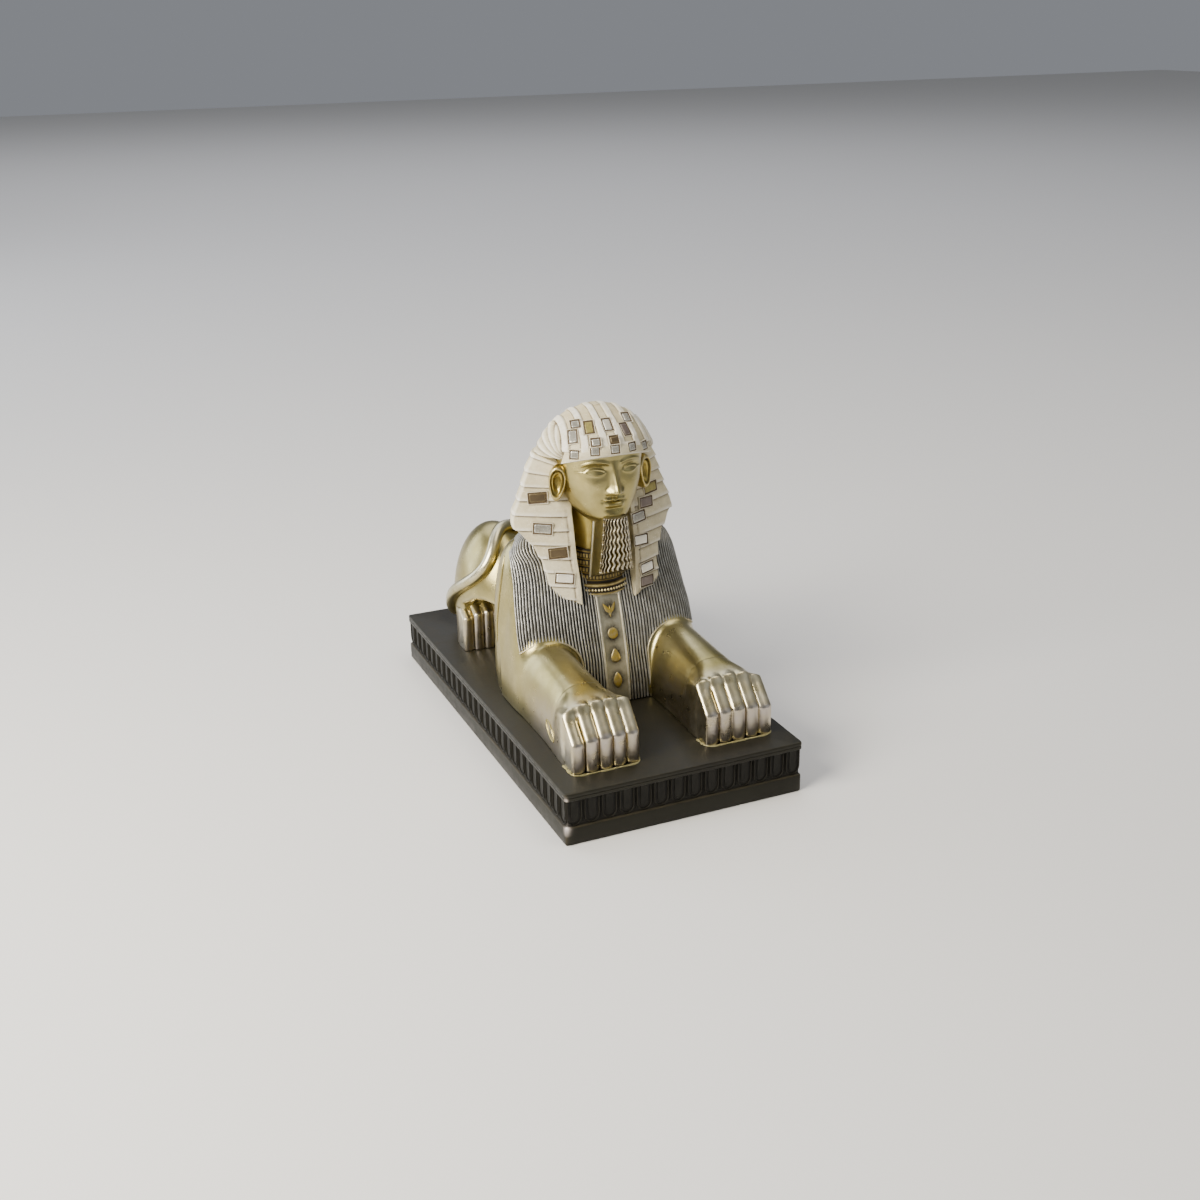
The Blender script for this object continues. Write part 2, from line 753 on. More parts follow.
        def depth(x: Array, y: Array, h: Array) -> Array:
            row = self.toe_row(
                x * side.value, y, h, PAW_SPAN[side], curve, self.fore_top, self.fore_front, -90
            )
            paw = melt(self.foreleg(x, y, h), row, 2.2)
            sinking = 0.5 * smoothstep(-87.5, -83.5, y)
            return np.maximum(np.maximum(paw + sinking, -h), y - self.handover[1])

        return depth

    def rear_paw(self, side: Side) -> Callable:
        """The signed depth of one rear foot with its toes."""

        def depth(x: Array, y: Array, h: Array) -> Array:
            out, up = x * side.value, np.maximum(h, 0)
            foot = oval(out - self.foot_centre(y), up, self.foot_half(y), self.foot_high(y), 2.8)
            foot = carve(foot, np.maximum(66 - y, y - 99), 2)
            row = self.toe_row(out, y, h, (23, 56), 2.0, self.rear_top, self.rear_front, 78)
            return np.maximum(melt(foot, row, 2.0), -h)

        return depth

    def skin(
        self, depth: Callable, low: Sequence[float], high: Sequence[float], step: float, gain: float
    ) -> Skin:
        """The shell of a depth, marked with its hollows and ridges but not where two pieces meet.

        Args:
            depth: the signed depth.
            low: lowest corner.
            high: highest corner.
            step: cell size.
            gain: how strongly the bends count.

        Returns:
            The skin in metres.
        """
        points, faces = shell_of(depth, low, high, step)
        bend = hollows(points, faces, 7) / step * gain * 1.15
        skin = Skin(world(*points.T), faces.tolist())
        y = points[:, 1]
        away = smoothstep(-84, -79, y) if step > 1 else 1 - smoothstep(-92, -88, y) * (y < -70)
        lifted = smoothstep(0.4, 1.5, points[:, 2])
        skin.mark("deep", np.clip(bend * 1.25 - 0.14, 0, 0.8) * away)
        return skin.mark("edge", np.clip(-bend - 0.12, 0, 0.75) * away * lifted)

    def paw_tint(self, skin: Skin, front: float, knuckle: float) -> Skin:
        """Yellow gold on the toes' tops and in their grooves, none on their upright fronts."""
        y, h = skin.points[:, 1] / MM, (skin.points[:, 2] - SEAT) / MM
        top = smoothstep(front + 1.5, front + 4, y) * (1 - smoothstep(knuckle - 4, knuckle + 8, y))
        silver = np.maximum((1 - smoothstep(front + 0.8, front + 3.5, y)) * 0.8, top * 0.15)
        skin.mark("silver", np.maximum(silver, 0.55 * (1 - smoothstep(12, 32, h))))
        deep = skin.marks["deep"]
        skin.mark("edge", np.maximum(skin.marks["edge"], top * 0.4 * (1 - deep)))
        return skin.mark("tint", np.clip(top * 0.2 + deep * 1.9, 0, 1) * smoothstep(6, 20, h))

    def wrist_mark(self, side: Side) -> Skin:
        """The almond ring on the outer side of a wrist: a cord half sunk in the skin."""
        turn = circle(48)
        along, across = 7.2 * np.cos(turn), 2.6 * np.sin(turn) * (0.6 + 0.4 * np.abs(np.sin(turn)))
        y, h = -84.5 + 0.84 * along - 0.55 * across, 11 + 0.55 * along + 0.84 * across
        low, high = np.full(48, 40.0), np.full(48, 80.0)
        for _ in range(24):
            middle = (low + high) / 2
            within = self.foreleg(middle * side.value, y, h) < 0
            low, high = np.where(within, middle, low), np.where(within, high, middle)
        spots = np.stack([low, y, h], -1)
        ahead = np.roll(spots, -1, 0) - np.roll(spots, 1, 0)
        sideways = unit(np.stack([0 * low, ahead[:, 2], -ahead[:, 1]], -1))
        turn = circle(8)[:, None]
        ring = 0.5 * (np.cos(turn) * sideways[:, None] + np.sin(turn) * np.array([1.0, 0, 0]))
        rings = (spots[:, None] + ring) * np.array([side.value, 1, 1])
        return tube(world(*np.moveaxis(rings, -1, 0)), capped=False)

    def build(self) -> None:
        """Makes the body, the four paws and the wrist marks."""
        body = self.skin(self.whole, (-66, -90, -1.5), (66, 122, 104), 1.25, 3.2)
        y, h = body.points[:, 1] / MM, (body.points[:, 2] - SEAT) / MM
        body.mark("silver", 0.55 * (1 - smoothstep(12, 32, h)) * (1 - smoothstep(-75, -40, y)))
        piece("lion_body", body, GOLD, sealed=False)
        for side in Side:
            label = side.name.lower()
            spread = sorted((side.value * 15, side.value * 63))
            skin = self.skin(self.fore_paw(side), (spread[0], -121, -1), (spread[1], -80, 42), 0.6, 3.0)
            piece(f"fore_paw_{label}", self.paw_tint(skin, self.fore_front, -100), GOLD, sealed=False)
            skin = self.skin(self.rear_paw(side), (spread[0], 56, -1), (spread[1], 102, 32), 0.7, 3.0)
            piece(f"rear_paw_{label}", self.paw_tint(skin, self.rear_front, 70), GOLD, sealed=False)
            piece(f"wrist_mark_{label}", self.wrist_mark(side), GOLD)


@dataclass
class Tail:
    """A round cord laid over the near thigh, thick to its tip."""

    line: tuple[tuple[float, float, float], ...] = (
        (0, 109, 50), (-1, 102, 60), (-2, 91, 67), (-5, 78, 70), (-12, 71, 74), (-22, 66, 80),
        (-32, 60, 78.5),
        (-39, 49, 69), (-43, 45.5, 62), (-49, 49, 54), (-53, 60, 45), (-54.5, 76, 35), (-52, 90, 23),
        (-47, 99, 13), (-38, 105, 6),
    )
    radius: float = 3.8
    sunk: float = 2.0

    def smoothed(self, points: Array) -> Array:
        """The points averaged along their run under a bell of 27 of them."""
        kernel = np.hanning(27) / np.hanning(27).sum()
        padded = np.pad(points, ((13, 13), (0, 0)), mode="edge")
        return np.stack([np.convolve(padded[:, a], kernel, mode="valid") for a in range(3)], -1)

    def centre_line(self, lion: Lion) -> Array:
        """The cord's middle: a smooth run through the line's points, laid on the lion's skin."""
        knots = np.array(self.line, float)
        spread = np.concatenate([[0], np.cumsum(np.linalg.norm(np.diff(knots, axis=0), axis=1))])
        where = np.linspace(0, spread[-1], 150)
        run = np.stack([Curve(tuple(zip(spread, knots[:, a])))(where) for a in range(3)], -1)
        points = self.smoothed(lion.onto_skin(self.smoothed(run), 8))
        buried = 2.2 * self.radius * (1 - smoothstep(0.0, 0.1, np.linspace(0, 1, len(points))))[:, None]
        return points + unit(lion.slope(points)) * (self.radius - self.sunk - buried)

    def build(self, lion: Lion) -> None:
        """Sweeps a circle along the line, closed by a rounded tip at each end."""
        middle = self.centre_line(lion)
        share = np.linspace(0, 1, len(middle))
        thick = (
            self.radius * (1 + 0.22 * bell(share, 0.9, 0.05))
            * np.sqrt(np.clip((1 - share) / 0.075, 0.002, 1))
        )
        rings = sweep(middle, lion.slope(middle), thick, 24)
        skin = tube(world(*np.moveaxis(rings, -1, 0)))
        skin.mark("edge", np.tile(np.clip(np.sin(circle(24)), 0, 1) ** 3 * 0.5, len(middle)))
        piece("tail", skin, GOLD)


# The cape over chest and shoulders


@dataclass
class Cape:
    """The fluted cape: fine upright ribs over the chest, arched over each foreleg, hemmed in gilt."""

    flutes: int = 62
    proud: float = 1.3
    groove: float = 1.0
    strip: float = 7.4
    top: float = 99.4
    edge: Curve = Curve(
        (
            (26, -35), (30, -34), (42, -29.2), (50, -26.1), (58, -22.3), (66, -19.2), (74, -15.9), (82, -11),
            (88, -3), (94, 4), (99.4, 9),
        )
    )
    arm_run: tuple[tuple[float, float, float], ...] = (
        (84, -3, 51), (78, -5, 53.5), (70, -5.5, 55), (60, -5, 56), (50, -4, 56.5), (40, -3, 56.5),
        (30, -3, 56),
    )
    arch_high: float = 15.5
    arch_foot: float = 26.0

    def arch(self, x: Array) -> Array:
        """The height of the half oval over a foreleg at a distance x from the middle."""
        return self.arch_foot + self.arch_high * np.sqrt(np.clip(1 - ((x - 39.0) / 18.6) ** 2, 0, 1))

    def surface(self, lion: Lion, side: Array, h: Array, proud: Array | float) -> Array:
        """Points on the chest's front oval at a side distance and a height, standing proud of it.

        Args:
            lion: the body that carries it.
            side: x, in sculpting units.
            h: heights.
            proud: how far out.

        Returns:
            Points in metres.
        """
        half = lion.half_width(h) + proud
        reach = lion.axis - lion.chest_front(h) + proud
        power = lion.squareness(h)
        share = np.clip(1 - np.abs(side / half) ** power, 0, 1)
        return world(side, lion.axis - reach * share ** (1 / power), h)

    def around(self, lion: Lion, share: Array, h: float, proud: Array) -> tuple[Array, Array]:
        """Places along one level of the chest, by length from its middle to the cape's side edge.

        The level is a squircle by polar angle a: radius (sin^p a + |cos|^p a)^(-1/p) in both half
        axes, squarer before the axis than behind it.

        Args:
            lion: the body that carries it.
            share: -1 at one edge to 1 at the other.
            h: the level.
            proud: how far out at each place.

        Returns:
            x and y at each place.
        """
        half = float(lion.half_width(h))

        def place(angle: Array, out: Array | float) -> tuple[Array, Array]:
            ahead = np.cos(angle)
            power = np.where(ahead > 0, lion.squareness(h), 2.3)
            reach = np.where(ahead > 0, lion.axis - lion.chest_front(h), lion.back) + out
            radius = (np.sin(angle) ** power + np.abs(ahead) ** power) ** (-1 / power)
            return radius * np.sin(angle) * (half + out), lion.axis - radius * ahead * reach

        fine = np.linspace(0, 0.9 * np.pi, 700)
        x, y = place(fine, 0.0)
        run = np.concatenate([[0], np.cumsum(np.hypot(np.diff(x), np.diff(y)))])
        last = np.interp(float(self.edge(h)), y, run)
        x, y = place(np.interp(np.abs(share) * last, run, fine), proud)
        return np.sign(share) * x, y

    def ribs(self, lion: Lion) -> Skin:
        """The ribs: a rounded ridge and a narrow dark groove each, eight points wide."""
        count = self.flutes * 8
        share = np.linspace(-1, 1, count + 1)
        phase = (np.arange(count + 1) / 8) % 1
        ridge = np.clip(0.5 - 0.5 * np.cos(2 * np.pi * phase), 0, 1) ** 0.6
        off = np.abs(self.around(lion, share, 34.0, 0 * share)[0])
        low = np.where(off < 20.5, 0.6, self.arch(off))
        rows = 1 - (1 - np.linspace(0, 1, 50)) ** 1.5
        levels = np.linspace(0.5, self.top, 120)
        plain = np.abs(share * 60) < self.strip + 0.4
        proud = np.where(plain, 0.1, self.proud - self.groove * (1 - ridge))
        table = [self.around(lion, share, float(v), proud) for v in levels]
        inner = [self.around(lion, share * 0.99, float(v), 0 * proud - 3.0) for v in levels]
        h = low[None, :] + (self.top - low[None, :]) * rows[:, None]
        step = np.clip((h - levels[0]) / (levels[1] - levels[0]), 0, len(levels) - 1.001)
        i = step.astype(int)
        columns = np.arange(count + 1)[None, :]
        grids = []
        for source in (table, inner):
            xs, ys = np.array([s[0] for s in source]), np.array([s[1] for s in source])
            x = xs[i, columns] * (1 - step + i) + xs[i + 1, columns] * (step - i)
            y = ys[i, columns] * (1 - step + i) + ys[i + 1, columns] * (step - i)
            grids.append(world(x, y, h - (0.8 if source is inner else 0) * (rows[:, None] > 0.98)))
        skin = plate(*grids)
        patch = 0.12 * np.sin(h * 0.33 + share[None, :] * 47) * np.sin(h * 0.11 - share[None, :] * 19)
        shade = np.clip((1 - ridge)[None, :] ** 0.8 + 0.15 + patch, 0, 1) + 0 * h
        lit = np.where(share < -0.35, 0.45, 0.1)[None, :] * smoothstep(45, 80, h)
        bright = np.clip((ridge[None, :] ** 4) * (0.55 + 0.3 * (share[None, :] < -0.3)) + patch, 0, 1)
        for name, outer, back in (("deep", shade, 1), ("edge", bright, 0), ("tint", lit * (1 - ridge), 0)):
            skin.mark(name, np.concatenate([outer.ravel(), np.full(h.size, float(back))]))
        return skin

    def cord(self, lion: Lion, side_run: Array, h: Array, radius: float, proud: float) -> Skin:
        """A round cord along a path on the cape.

        Args:
            lion: the body that carries it.
            side_run: x along the path.
            h: heights along the path.
            radius: the cord's radius.
            proud: how far its middle stands out.

        Returns:
            The skin.
        """
        middle = self.surface(lion, side_run, h, proud) / MM
        out = self.surface(lion, side_run, h, proud + 1) / MM - middle
        return tube(sweep(middle, out, radius, 8) * MM)

    def hem(self, lion: Lion, side: Side) -> Skin:
        """The gilt line along the arch and down the inner leg, as one cord."""
        over = np.linspace(54.2, 20.6, 70)
        arch = self.arch(over)
        x = np.concatenate([over, np.full(18, 20.5)])
        h = np.concatenate([arch, np.linspace(arch[-1] - 1, 1.2, 18)])
        return self.cord(lion, x * side.value, h, 0.55, self.proud - 0.35)

    def arm_line(self, lion: Lion, side: Side) -> Skin:
        """The raised line down the back of the upper arm, half sunk in the skin."""
        h = np.linspace(84, 31, 60)
        y, x = (Curve(tuple((p[0], p[k]) for p in self.arm_run[::-1]))(h) for k in (1, 2))
        spots = lion.onto_skin(np.stack([x, y, h], -1), 6)
        turn = circle(8)
        thick = 0.75 * np.sqrt(np.clip(1 - np.abs(np.linspace(-1, 1, 60)) ** 6, 0.03, 1))[:, None]
        ring = np.stack([thick * np.cos(turn), thick * np.sin(turn), 0 * thick * turn], -1)
        rings = (spots[:, None] + ring) * np.array([side.value, 1, 1])
        return tube(world(*np.moveaxis(rings, -1, 0)))

    def build(self, lion: Lion) -> None:
        """Makes the ribs, both hems and both arm lines."""
        piece("cape_ribs", self.ribs(lion), CAPE, sharp=70)
        for side in Side:
            hem = self.hem(lion, side).mark("edge", 0.35).mark("tint", 0.4)
            piece(f"cape_hem_{side.name.lower()}", hem, STRIP)
            piece(f"arm_line_{side.name.lower()}", self.arm_line(lion, side), GOLD)


@dataclass
class ChestPanel:
    """The upright panel down the chest: two edge cords, a bar and four plain gilt ornaments."""

    foot: float = 1.0
    top: float = 62.0
    edge: float = 6.9
    signs: tuple[tuple[str, float], ...] = (("sprout", 53.5), ("disc", 40.5), ("drop", 28.0), ("leaf", 14.0))

    def outline(self, name: str) -> Array:
        """One ornament's closed outline as (side, height) pairs, rounded between its corners."""
        corners = {
            "sprout": [
                (0, -4.6), (0.9, -2.2), (2.9, -0.4), (4.2, 4.2), (2.2, 2.3), (0.6, 0.6), (0, 2.6),
                (-0.6, 0.6),
                (-2.2, 2.3), (-4.2, 4.2), (-2.9, -0.4), (-0.9, -2.2),
            ],
            "disc": [(3.4 * math.cos(t), 3.4 * math.sin(t)) for t in circle(12)],
            "drop": [(0, 4.4), (-2.4, 1.2), (-3.1, -1.6), (-1.8, -3.8), (1.2, -4.1), (3, -2.2), (2.6, 0.8)],
            "leaf": [
                (0, 5), (-2.2, 2), (-2.9, -1.4), (-1.2, -4.6), (0, -5.2), (1.2, -4.6), (2.9, -1.4), (2.2, 2)
            ],
        }[name]
        ring = np.array(corners, float)
        t = np.linspace(0, 1, 4, endpoint=False)[None, :, None]
        before, here, after, later = (np.roll(ring, s, 0)[:, None] for s in (1, 0, -1, -2))
        bent = 2 * before - 5 * here + 4 * after - later
        curled = 3 * (here - after) + later - before
        return (here + 0.5 * t * (after - before + t * (bent + t * curled))).reshape(-1, 2)

    def sign(self, lion: Lion, name: str, height: float) -> Skin:
        """A domed ornament on a dark sunk ground, as rings drawn in towards its middle."""
        ring = self.outline(name)
        middle = ring.mean(0)
        rings = []
        for share, rise in (
            (0.94, -0.8), (0.93, 0.55), (0.84, 0.85), (0.55, 1.05), (0.25, 1.1), (0.02, 1.12)
        ):
            spot = middle + (ring - middle) * share
            y = lion.chest_front(height + spot[:, 1]) - 0.35 - rise
            rings.append(world(spot[:, 0], y, height + spot[:, 1]))
        skin = tube(np.stack(rings))
        skin.mark("deep", np.repeat([1.0, 0.6, 0, 0, 0, 0], len(ring)))
        return skin.mark("tint", np.repeat([0.0, 0.3, 0.8, 0.9, 0.9, 0.9], len(ring)))

    def build(self, lion: Lion, cape: Cape) -> None:
        """Makes the ground, the cords, the bar and the ornaments."""
        across = np.linspace(-self.edge, self.edge, 21)[None, :]
        h = np.linspace(self.foot, self.top, 60)[:, None]
        dished = 0.85 - 0.25 * np.cos(across / self.edge * np.pi / 2)
        front = cape.surface(lion, across + 0 * h, h + 0 * across, dished + 0 * h)
        back = cape.surface(lion, across + 0 * h, h + 0 * across, -2.0)
        ground = plate(front, back)
        dark = np.zeros((60, 21))
        for _, height in self.signs:
            dark = np.maximum(dark, np.exp(-((np.hypot(across / 4.6, (h - height) / 5.6)) ** 4)))
        ground.mark("deep", np.concatenate([dark.ravel() * 0.95, np.zeros(h.size * across.size)]))
        skins = [ground]
        for side in (-1, 1):
            run = np.linspace(self.foot, self.top + 1, 40)
            skins.append(cape.cord(lion, np.full(40, side * self.edge), run, 0.75, 1.0).mark("edge", 0.7))
        run = np.linspace(-self.edge - 1, self.edge + 1, 12)
        skins.append(cape.cord(lion, run, np.full(12, self.top), 0.9, 0.9).mark("edge", 0.55))
        skins += [self.sign(lion, name, height) for name, height in self.signs]
        piece("chest_panel", together(skins), STRIP)


@dataclass
class Collar:
    """The wide neck ring: blackened bands with rows of small gilt squares, and a beaded lower rim."""

    bands: tuple[tuple[float, float, float], ...] = (
        (88, 17.3, -30.8), (86, 17.9, -31.3), (82, 18.4, -31.8), (76, 18.8, -32.2), (69.5, 19.5, -32.9),
        (68.4, 20.4, -33.8), (66, 20.9, -34.6), (63.4, 20.8, -34.9), (61.6, 19.6, -33.6), (59.5, 16, -31),
    )
    axis: float = -16.0
    columns: int = 360
    rows: int = 100
    row_foot: float = 70.6
    row_pitch: float = 4.1
    bead_high: float = 65.3

    def build(self) -> None:
        """Makes the ring with its squares pressed out, and the beads."""
        level = np.array([b[0] for b in self.bands])[::-1]
        half = Curve(tuple(zip(level, [b[1] for b in self.bands][::-1])))
        front = Curve(tuple(zip(level, [b[2] for b in self.bands][::-1])))
        h = np.linspace(59.5, 88, self.rows)[:, None]
        turn = circle(self.columns)[None, :]
        place = (h - self.row_foot) / self.row_pitch % 1
        squares = ((turn * 180 / np.pi / 6.0) % 1 < 0.62) * smoothstep(0.12, 0.26, place)
        squares = squares * (1 - smoothstep(0.62, 0.76, place)) * (h > 70.4) * (h < 86.5)
        lines = np.maximum(bell(place, 0.0, 0.07), bell(place, 1.0, 0.07)) * (h > 69)
        rim = np.maximum(bell(h, 67.9, 0.55), bell(h, 62.8, 0.55)) + 0 * turn
        gilt = np.clip(np.maximum(np.maximum(squares * 0.5, lines * 0.55), rim), 0, 1)
        proud = 0.35 * squares + 0.28 * lines + 0.5 * rim
        ahead = np.cos(turn)
        x = (half(h) + proud) * np.sin(turn)
        y = self.axis + (front(h) - self.axis - proud) * ahead
        skin = tube(world(x, y, h + 2.5 * (1 - ahead)))
        skin.mark("tint", gilt * 0.9).mark("edge", np.clip(rim * 0.45 + squares * 0.12, 0, 1))
        piece("collar", skin, DARK_GILT, sharp=75)
        beads = []
        around = circle(8)[None, :]
        climb = np.linspace(-np.pi / 2, np.pi / 2, 6)[:, None]
        wide, reach = 0.72 * np.cos(climb), front(self.bead_high) - self.axis - 0.1
        for spot in np.linspace(-1.5, 1.5, 35):
            x = 21.0 * np.sin(spot) + wide * np.cos(around)
            y = self.axis + reach * np.cos(spot) + wide * np.sin(around)
            level = self.bead_high + 2.5 * (1 - np.cos(spot)) + 0.8 * np.sin(climb)
            beads.append(tube(world(x, y, level)).mark("edge", 0.9).mark("tint", 1.0))
        piece("collar_beads", together(beads), DARK_GILT)


# The head


@dataclass
class Head:
    """A calm, plain face on even thirds, on an oval skull, with neck, ears and false beard."""

    half: Curve = Curve(
        (
            (106, 9), (109, 12.5), (112, 15.5), (117, 18.8), (123, 21.4), (130, 23.2), (138, 24.2),
            (146, 24.6), (154, 24)
        )
    )
    deep: Curve = Curve(
        (
            (106, 19), (109, 23.4), (112, 25), (117, 25.2), (123, 25.4), (130, 25.6), (138, 25.4),
            (146, 25.6), (154, 24.6)
        )
    )
    axis: float = -20.0
    eye: float = 137.5
    nose: float = 126.5
    mouth: float = 120.6
    eye_side: float = 10.4
    marks: dict[str, Array] = field(default_factory=dict)

    def relief(self, x: Array, h: Array) -> Array:
        """How far the plain face stands out from the oval, as a sum of bells and ridges.

        Args:
            x: side distance.
            h: height.

        Returns:
            The relief in sculpting units.
        """
        wide = np.abs(x)
        ridge = Curve(((124.6, 5.0), (126.4, 6.0), (131, 4.1), (136, 2.4), (140, 1.3), (144, 0.2)))(h)
        spread = Curve(((124.6, 3.2), (127.5, 3.0), (132, 2.4), (138, 2.5), (144, 4.0)))(h)
        nose = ridge * np.exp(-((wide / spread) ** 2)) / (1 + np.exp((124.9 - h) / 0.38))
        wing = 1.5 * bell(wide, 3.8, 1.4) * bell(h, self.nose - 0.1, 1.5)
        nostril = -0.7 * bell(wide, 2.1, 0.9) * bell(h, 124.7, 0.7)
        socket = -2.5 * bell(wide, self.eye_side, 5.6) * bell(h, self.eye + 1.0, 3.1)
        ball = 2.1 * bell(wide, self.eye_side, 4.3) * bell(h, self.eye, 2.1)
        upper = self.eye + 1.75 * np.sqrt(np.clip(1 - ((wide - self.eye_side) / 5.0) ** 2, 0, 1))
        lower = self.eye - 1.35 * np.sqrt(np.clip(1 - ((wide - self.eye_side) / 5.0) ** 2, 0, 1))
        near = 1 - smoothstep(4.6, 5.6, np.abs(wide - self.eye_side))
        lids = 0.55 * near * (
            bell(h, 0, 1) * 0 + np.exp(-(((h - upper) / 0.45) ** 2))
            + 0.7 * np.exp(-(((h - lower) / 0.4) ** 2))
        )
        crease = -0.4 * near * np.exp(-(((h - upper - 1.1) / 0.45) ** 2))
        paint_line = (
            0.45 * smoothstep(14.4, 15.2, wide) * (1 - smoothstep(19.6, 20.6, wide))
            * bell(h, self.eye - 0.1, 0.5)
        )
        arch = self.eye + 6.0 - 0.035 * (wide - 9.5) ** 2
        brow = (
            0.95 * np.exp(-(((h - arch) / 1.0) ** 2)) * smoothstep(2.5, 5, wide)
            * (1 - smoothstep(17, 19.5, wide))
        )
        cheek = 0.9 * bell(wide, 12.5, 5.5) * bell(h, 128.5, 5.5)
        bow = self.mouth + 1.75 - 0.35 * bell(wide, 0, 0.9) + 0.25 * bell(wide, 1.8, 1.2)
        corner = 1 - smoothstep(4.0, 7.2, wide)
        lips = 1.15 * corner * np.exp(-(((h - bow + 0.35) / 1.15) ** 2))
        lips += 1.35 * (1 - smoothstep(3.4, 6.6, wide)) * np.exp(-(((h - self.mouth + 1.75) / 1.25) ** 2))
        parting = (
            -0.8 * (1 - smoothstep(4.2, 7.2, wide)) * np.exp(-(((h - self.mouth - 0.05 * wide) / 0.4) ** 2))
        )
        dimple = -0.5 * bell(wide, 7.0, 1.1) * bell(h, self.mouth + 0.3, 1.2)
        groove = -0.35 * bell(wide, 0, 0.9) * bell(h, 123.4, 0.9)
        under = -0.6 * bell(wide, 0, 4.2) * bell(h, 116.4, 1.1)
        chin = 1.4 * bell(wide, 0, 6) * bell(h, 112.4, 3.0)
        face = nose + wing + nostril + socket + ball + lids + crease + paint_line + brow + cheek
        return face + lips + parting + dimple + groove + under + chin

    def face(self) -> Skin:
        """Rings of the oval with the relief added ahead, the columns crowded over the face."""
        h = np.concatenate([[101, 104], np.linspace(106, 149.2, 175)])[:, None]
        share = np.linspace(-1, 1, 241)[:-1]
        turn = (np.pi * np.sign(share) * (0.42 * np.abs(share) + 0.58 * np.abs(share) ** 2.6))[None, :]
        low = h < 106
        tuck = 2.2 * smoothstep(146.5, 149.2, h)
        half = np.where(low, 8.0, self.half(h) - tuck)
        deep = np.where(low, 14.0, self.deep(h) - tuck)
        side, ahead = np.sin(turn), np.cos(turn)
        deep = np.where(ahead > 0, deep, deep - 5.5)
        power = 2.25
        reach = (np.abs(side / half) ** power + np.abs(ahead / deep) ** power) ** (-1 / power)
        lift = np.where(low, 0, self.relief(reach * side, h)) * np.clip(ahead, 0, 1)
        x, y = (reach + lift) * side, self.axis - (reach + lift) * ahead
        x = reach * side + lift * side * 0.25
        skin = tube(world(x, y, h + 0 * turn))
        faces = quads(*x.shape, wrap_columns=True)
        bend = hollows(skin.points / MM, faces, 2)
        skin.mark("deep", np.clip(bend * 7 - 0.12, 0, 0.75)).mark("edge", np.clip(-bend * 5 - 0.15, 0, 0.5))
        return skin

    def neck(self) -> Skin:
        """A column from the chest to the jaw, a little wider at its foot."""
        h = np.linspace(50, 113, 40)[:, None]
        turn = np.linspace(0, 2 * np.pi, 64, endpoint=False)[None, :]
        half = Curve(((50, 20), (68, 19), (84, 16.5), (96, 16), (112, 17)))(h)
        front = Curve(((50, -24), (68, -27), (84, -29), (96, -30.5), (112, -32)))(h)
        y = -14 + (front + 14) * np.cos(turn)
        cord = 0.5 * bell(np.abs(turn - np.pi), np.pi - 0.55, 0.16)
        skin = tube(world((half + cord) * np.sin(turn), y - cord, h + 0 * turn))
        return skin.mark(
            "deep", 0.35 + 0.4 * (1 - smoothstep(84, 92, h)) + 0 * turn
        ).mark("tint", 0.35 + 0 * h + 0 * turn)

    def ear(self, side: Side) -> Skin:
        """An upright oval ear: a rolled rim, a hollow with an inner fold, and a soft lobe."""
        share = np.concatenate([np.linspace(0.02, 1, 26), [1.06, 1.08, 1.02, 0.9]])[:, None]
        turn = np.linspace(0, 2 * np.pi, 56, endpoint=False)[None, :]
        drop = -np.sin(turn)
        taper = 1.08 - 0.30 * smoothstep(-0.6, 1, drop)
        out = np.sign(np.cos(turn)) * np.abs(np.cos(turn)) ** 0.85 * 4.7 * share * taper
        up = np.sin(turn) * 9.6 * share
        rim = 1.6 * bell(share, 0.88, 0.15) * (1 - 0.8 * bell(drop, 1, 0.5))
        fold = 1.1 * bell(share, 0.55, 0.11) * np.clip(0.35 + np.cos(turn) * 0.65, 0, 1)
        bowl = -2.0 * np.clip(1 - (share / 0.75) ** 2, 0, 1)
        lobe = 1.6 * bell(up, -7.4, 2.6) * (1 - 0.5 * share)
        lift = 2.0 + rim + fold + bowl + lobe
        sunk = np.where(share > 1.0, np.clip((share - 1.0) * 12, 0, 1), 0)
        ahead = np.where(
            np.arange(len(share))[:, None] >= 26, np.array([0] * 26 + [1.6, 0.0, -3, -7])[:, None] + 0 * turn,
            lift
        )
        lean, swing = math.radians(-6 * side.value), math.radians(28 * side.value)
        a, c = out * side.value, up
        a, c = a * math.cos(lean) + c * math.sin(lean), c * math.cos(lean) - a * math.sin(lean)
        b = -ahead + 0 * sunk
        x = a * math.cos(swing) - b * math.sin(swing) + side.value * 25.6
        y = a * math.sin(swing) + b * math.cos(swing) - 25.5
        skin = tube(world(x, y, c + 129.5))
        deep = (
            np.clip(1.2 * bell(share, 0.72, 0.1) * (1 - fold / 1.1) + 0.7 * (share < 0.4), 0, 0.9) + 0 * turn
        )
        return skin.mark("deep", deep).mark(
            "edge", 0.25 * bell(share, 0.92, 0.08) + 0 * turn
        ).mark("tint", 0.4 + 0 * share + 0 * turn)

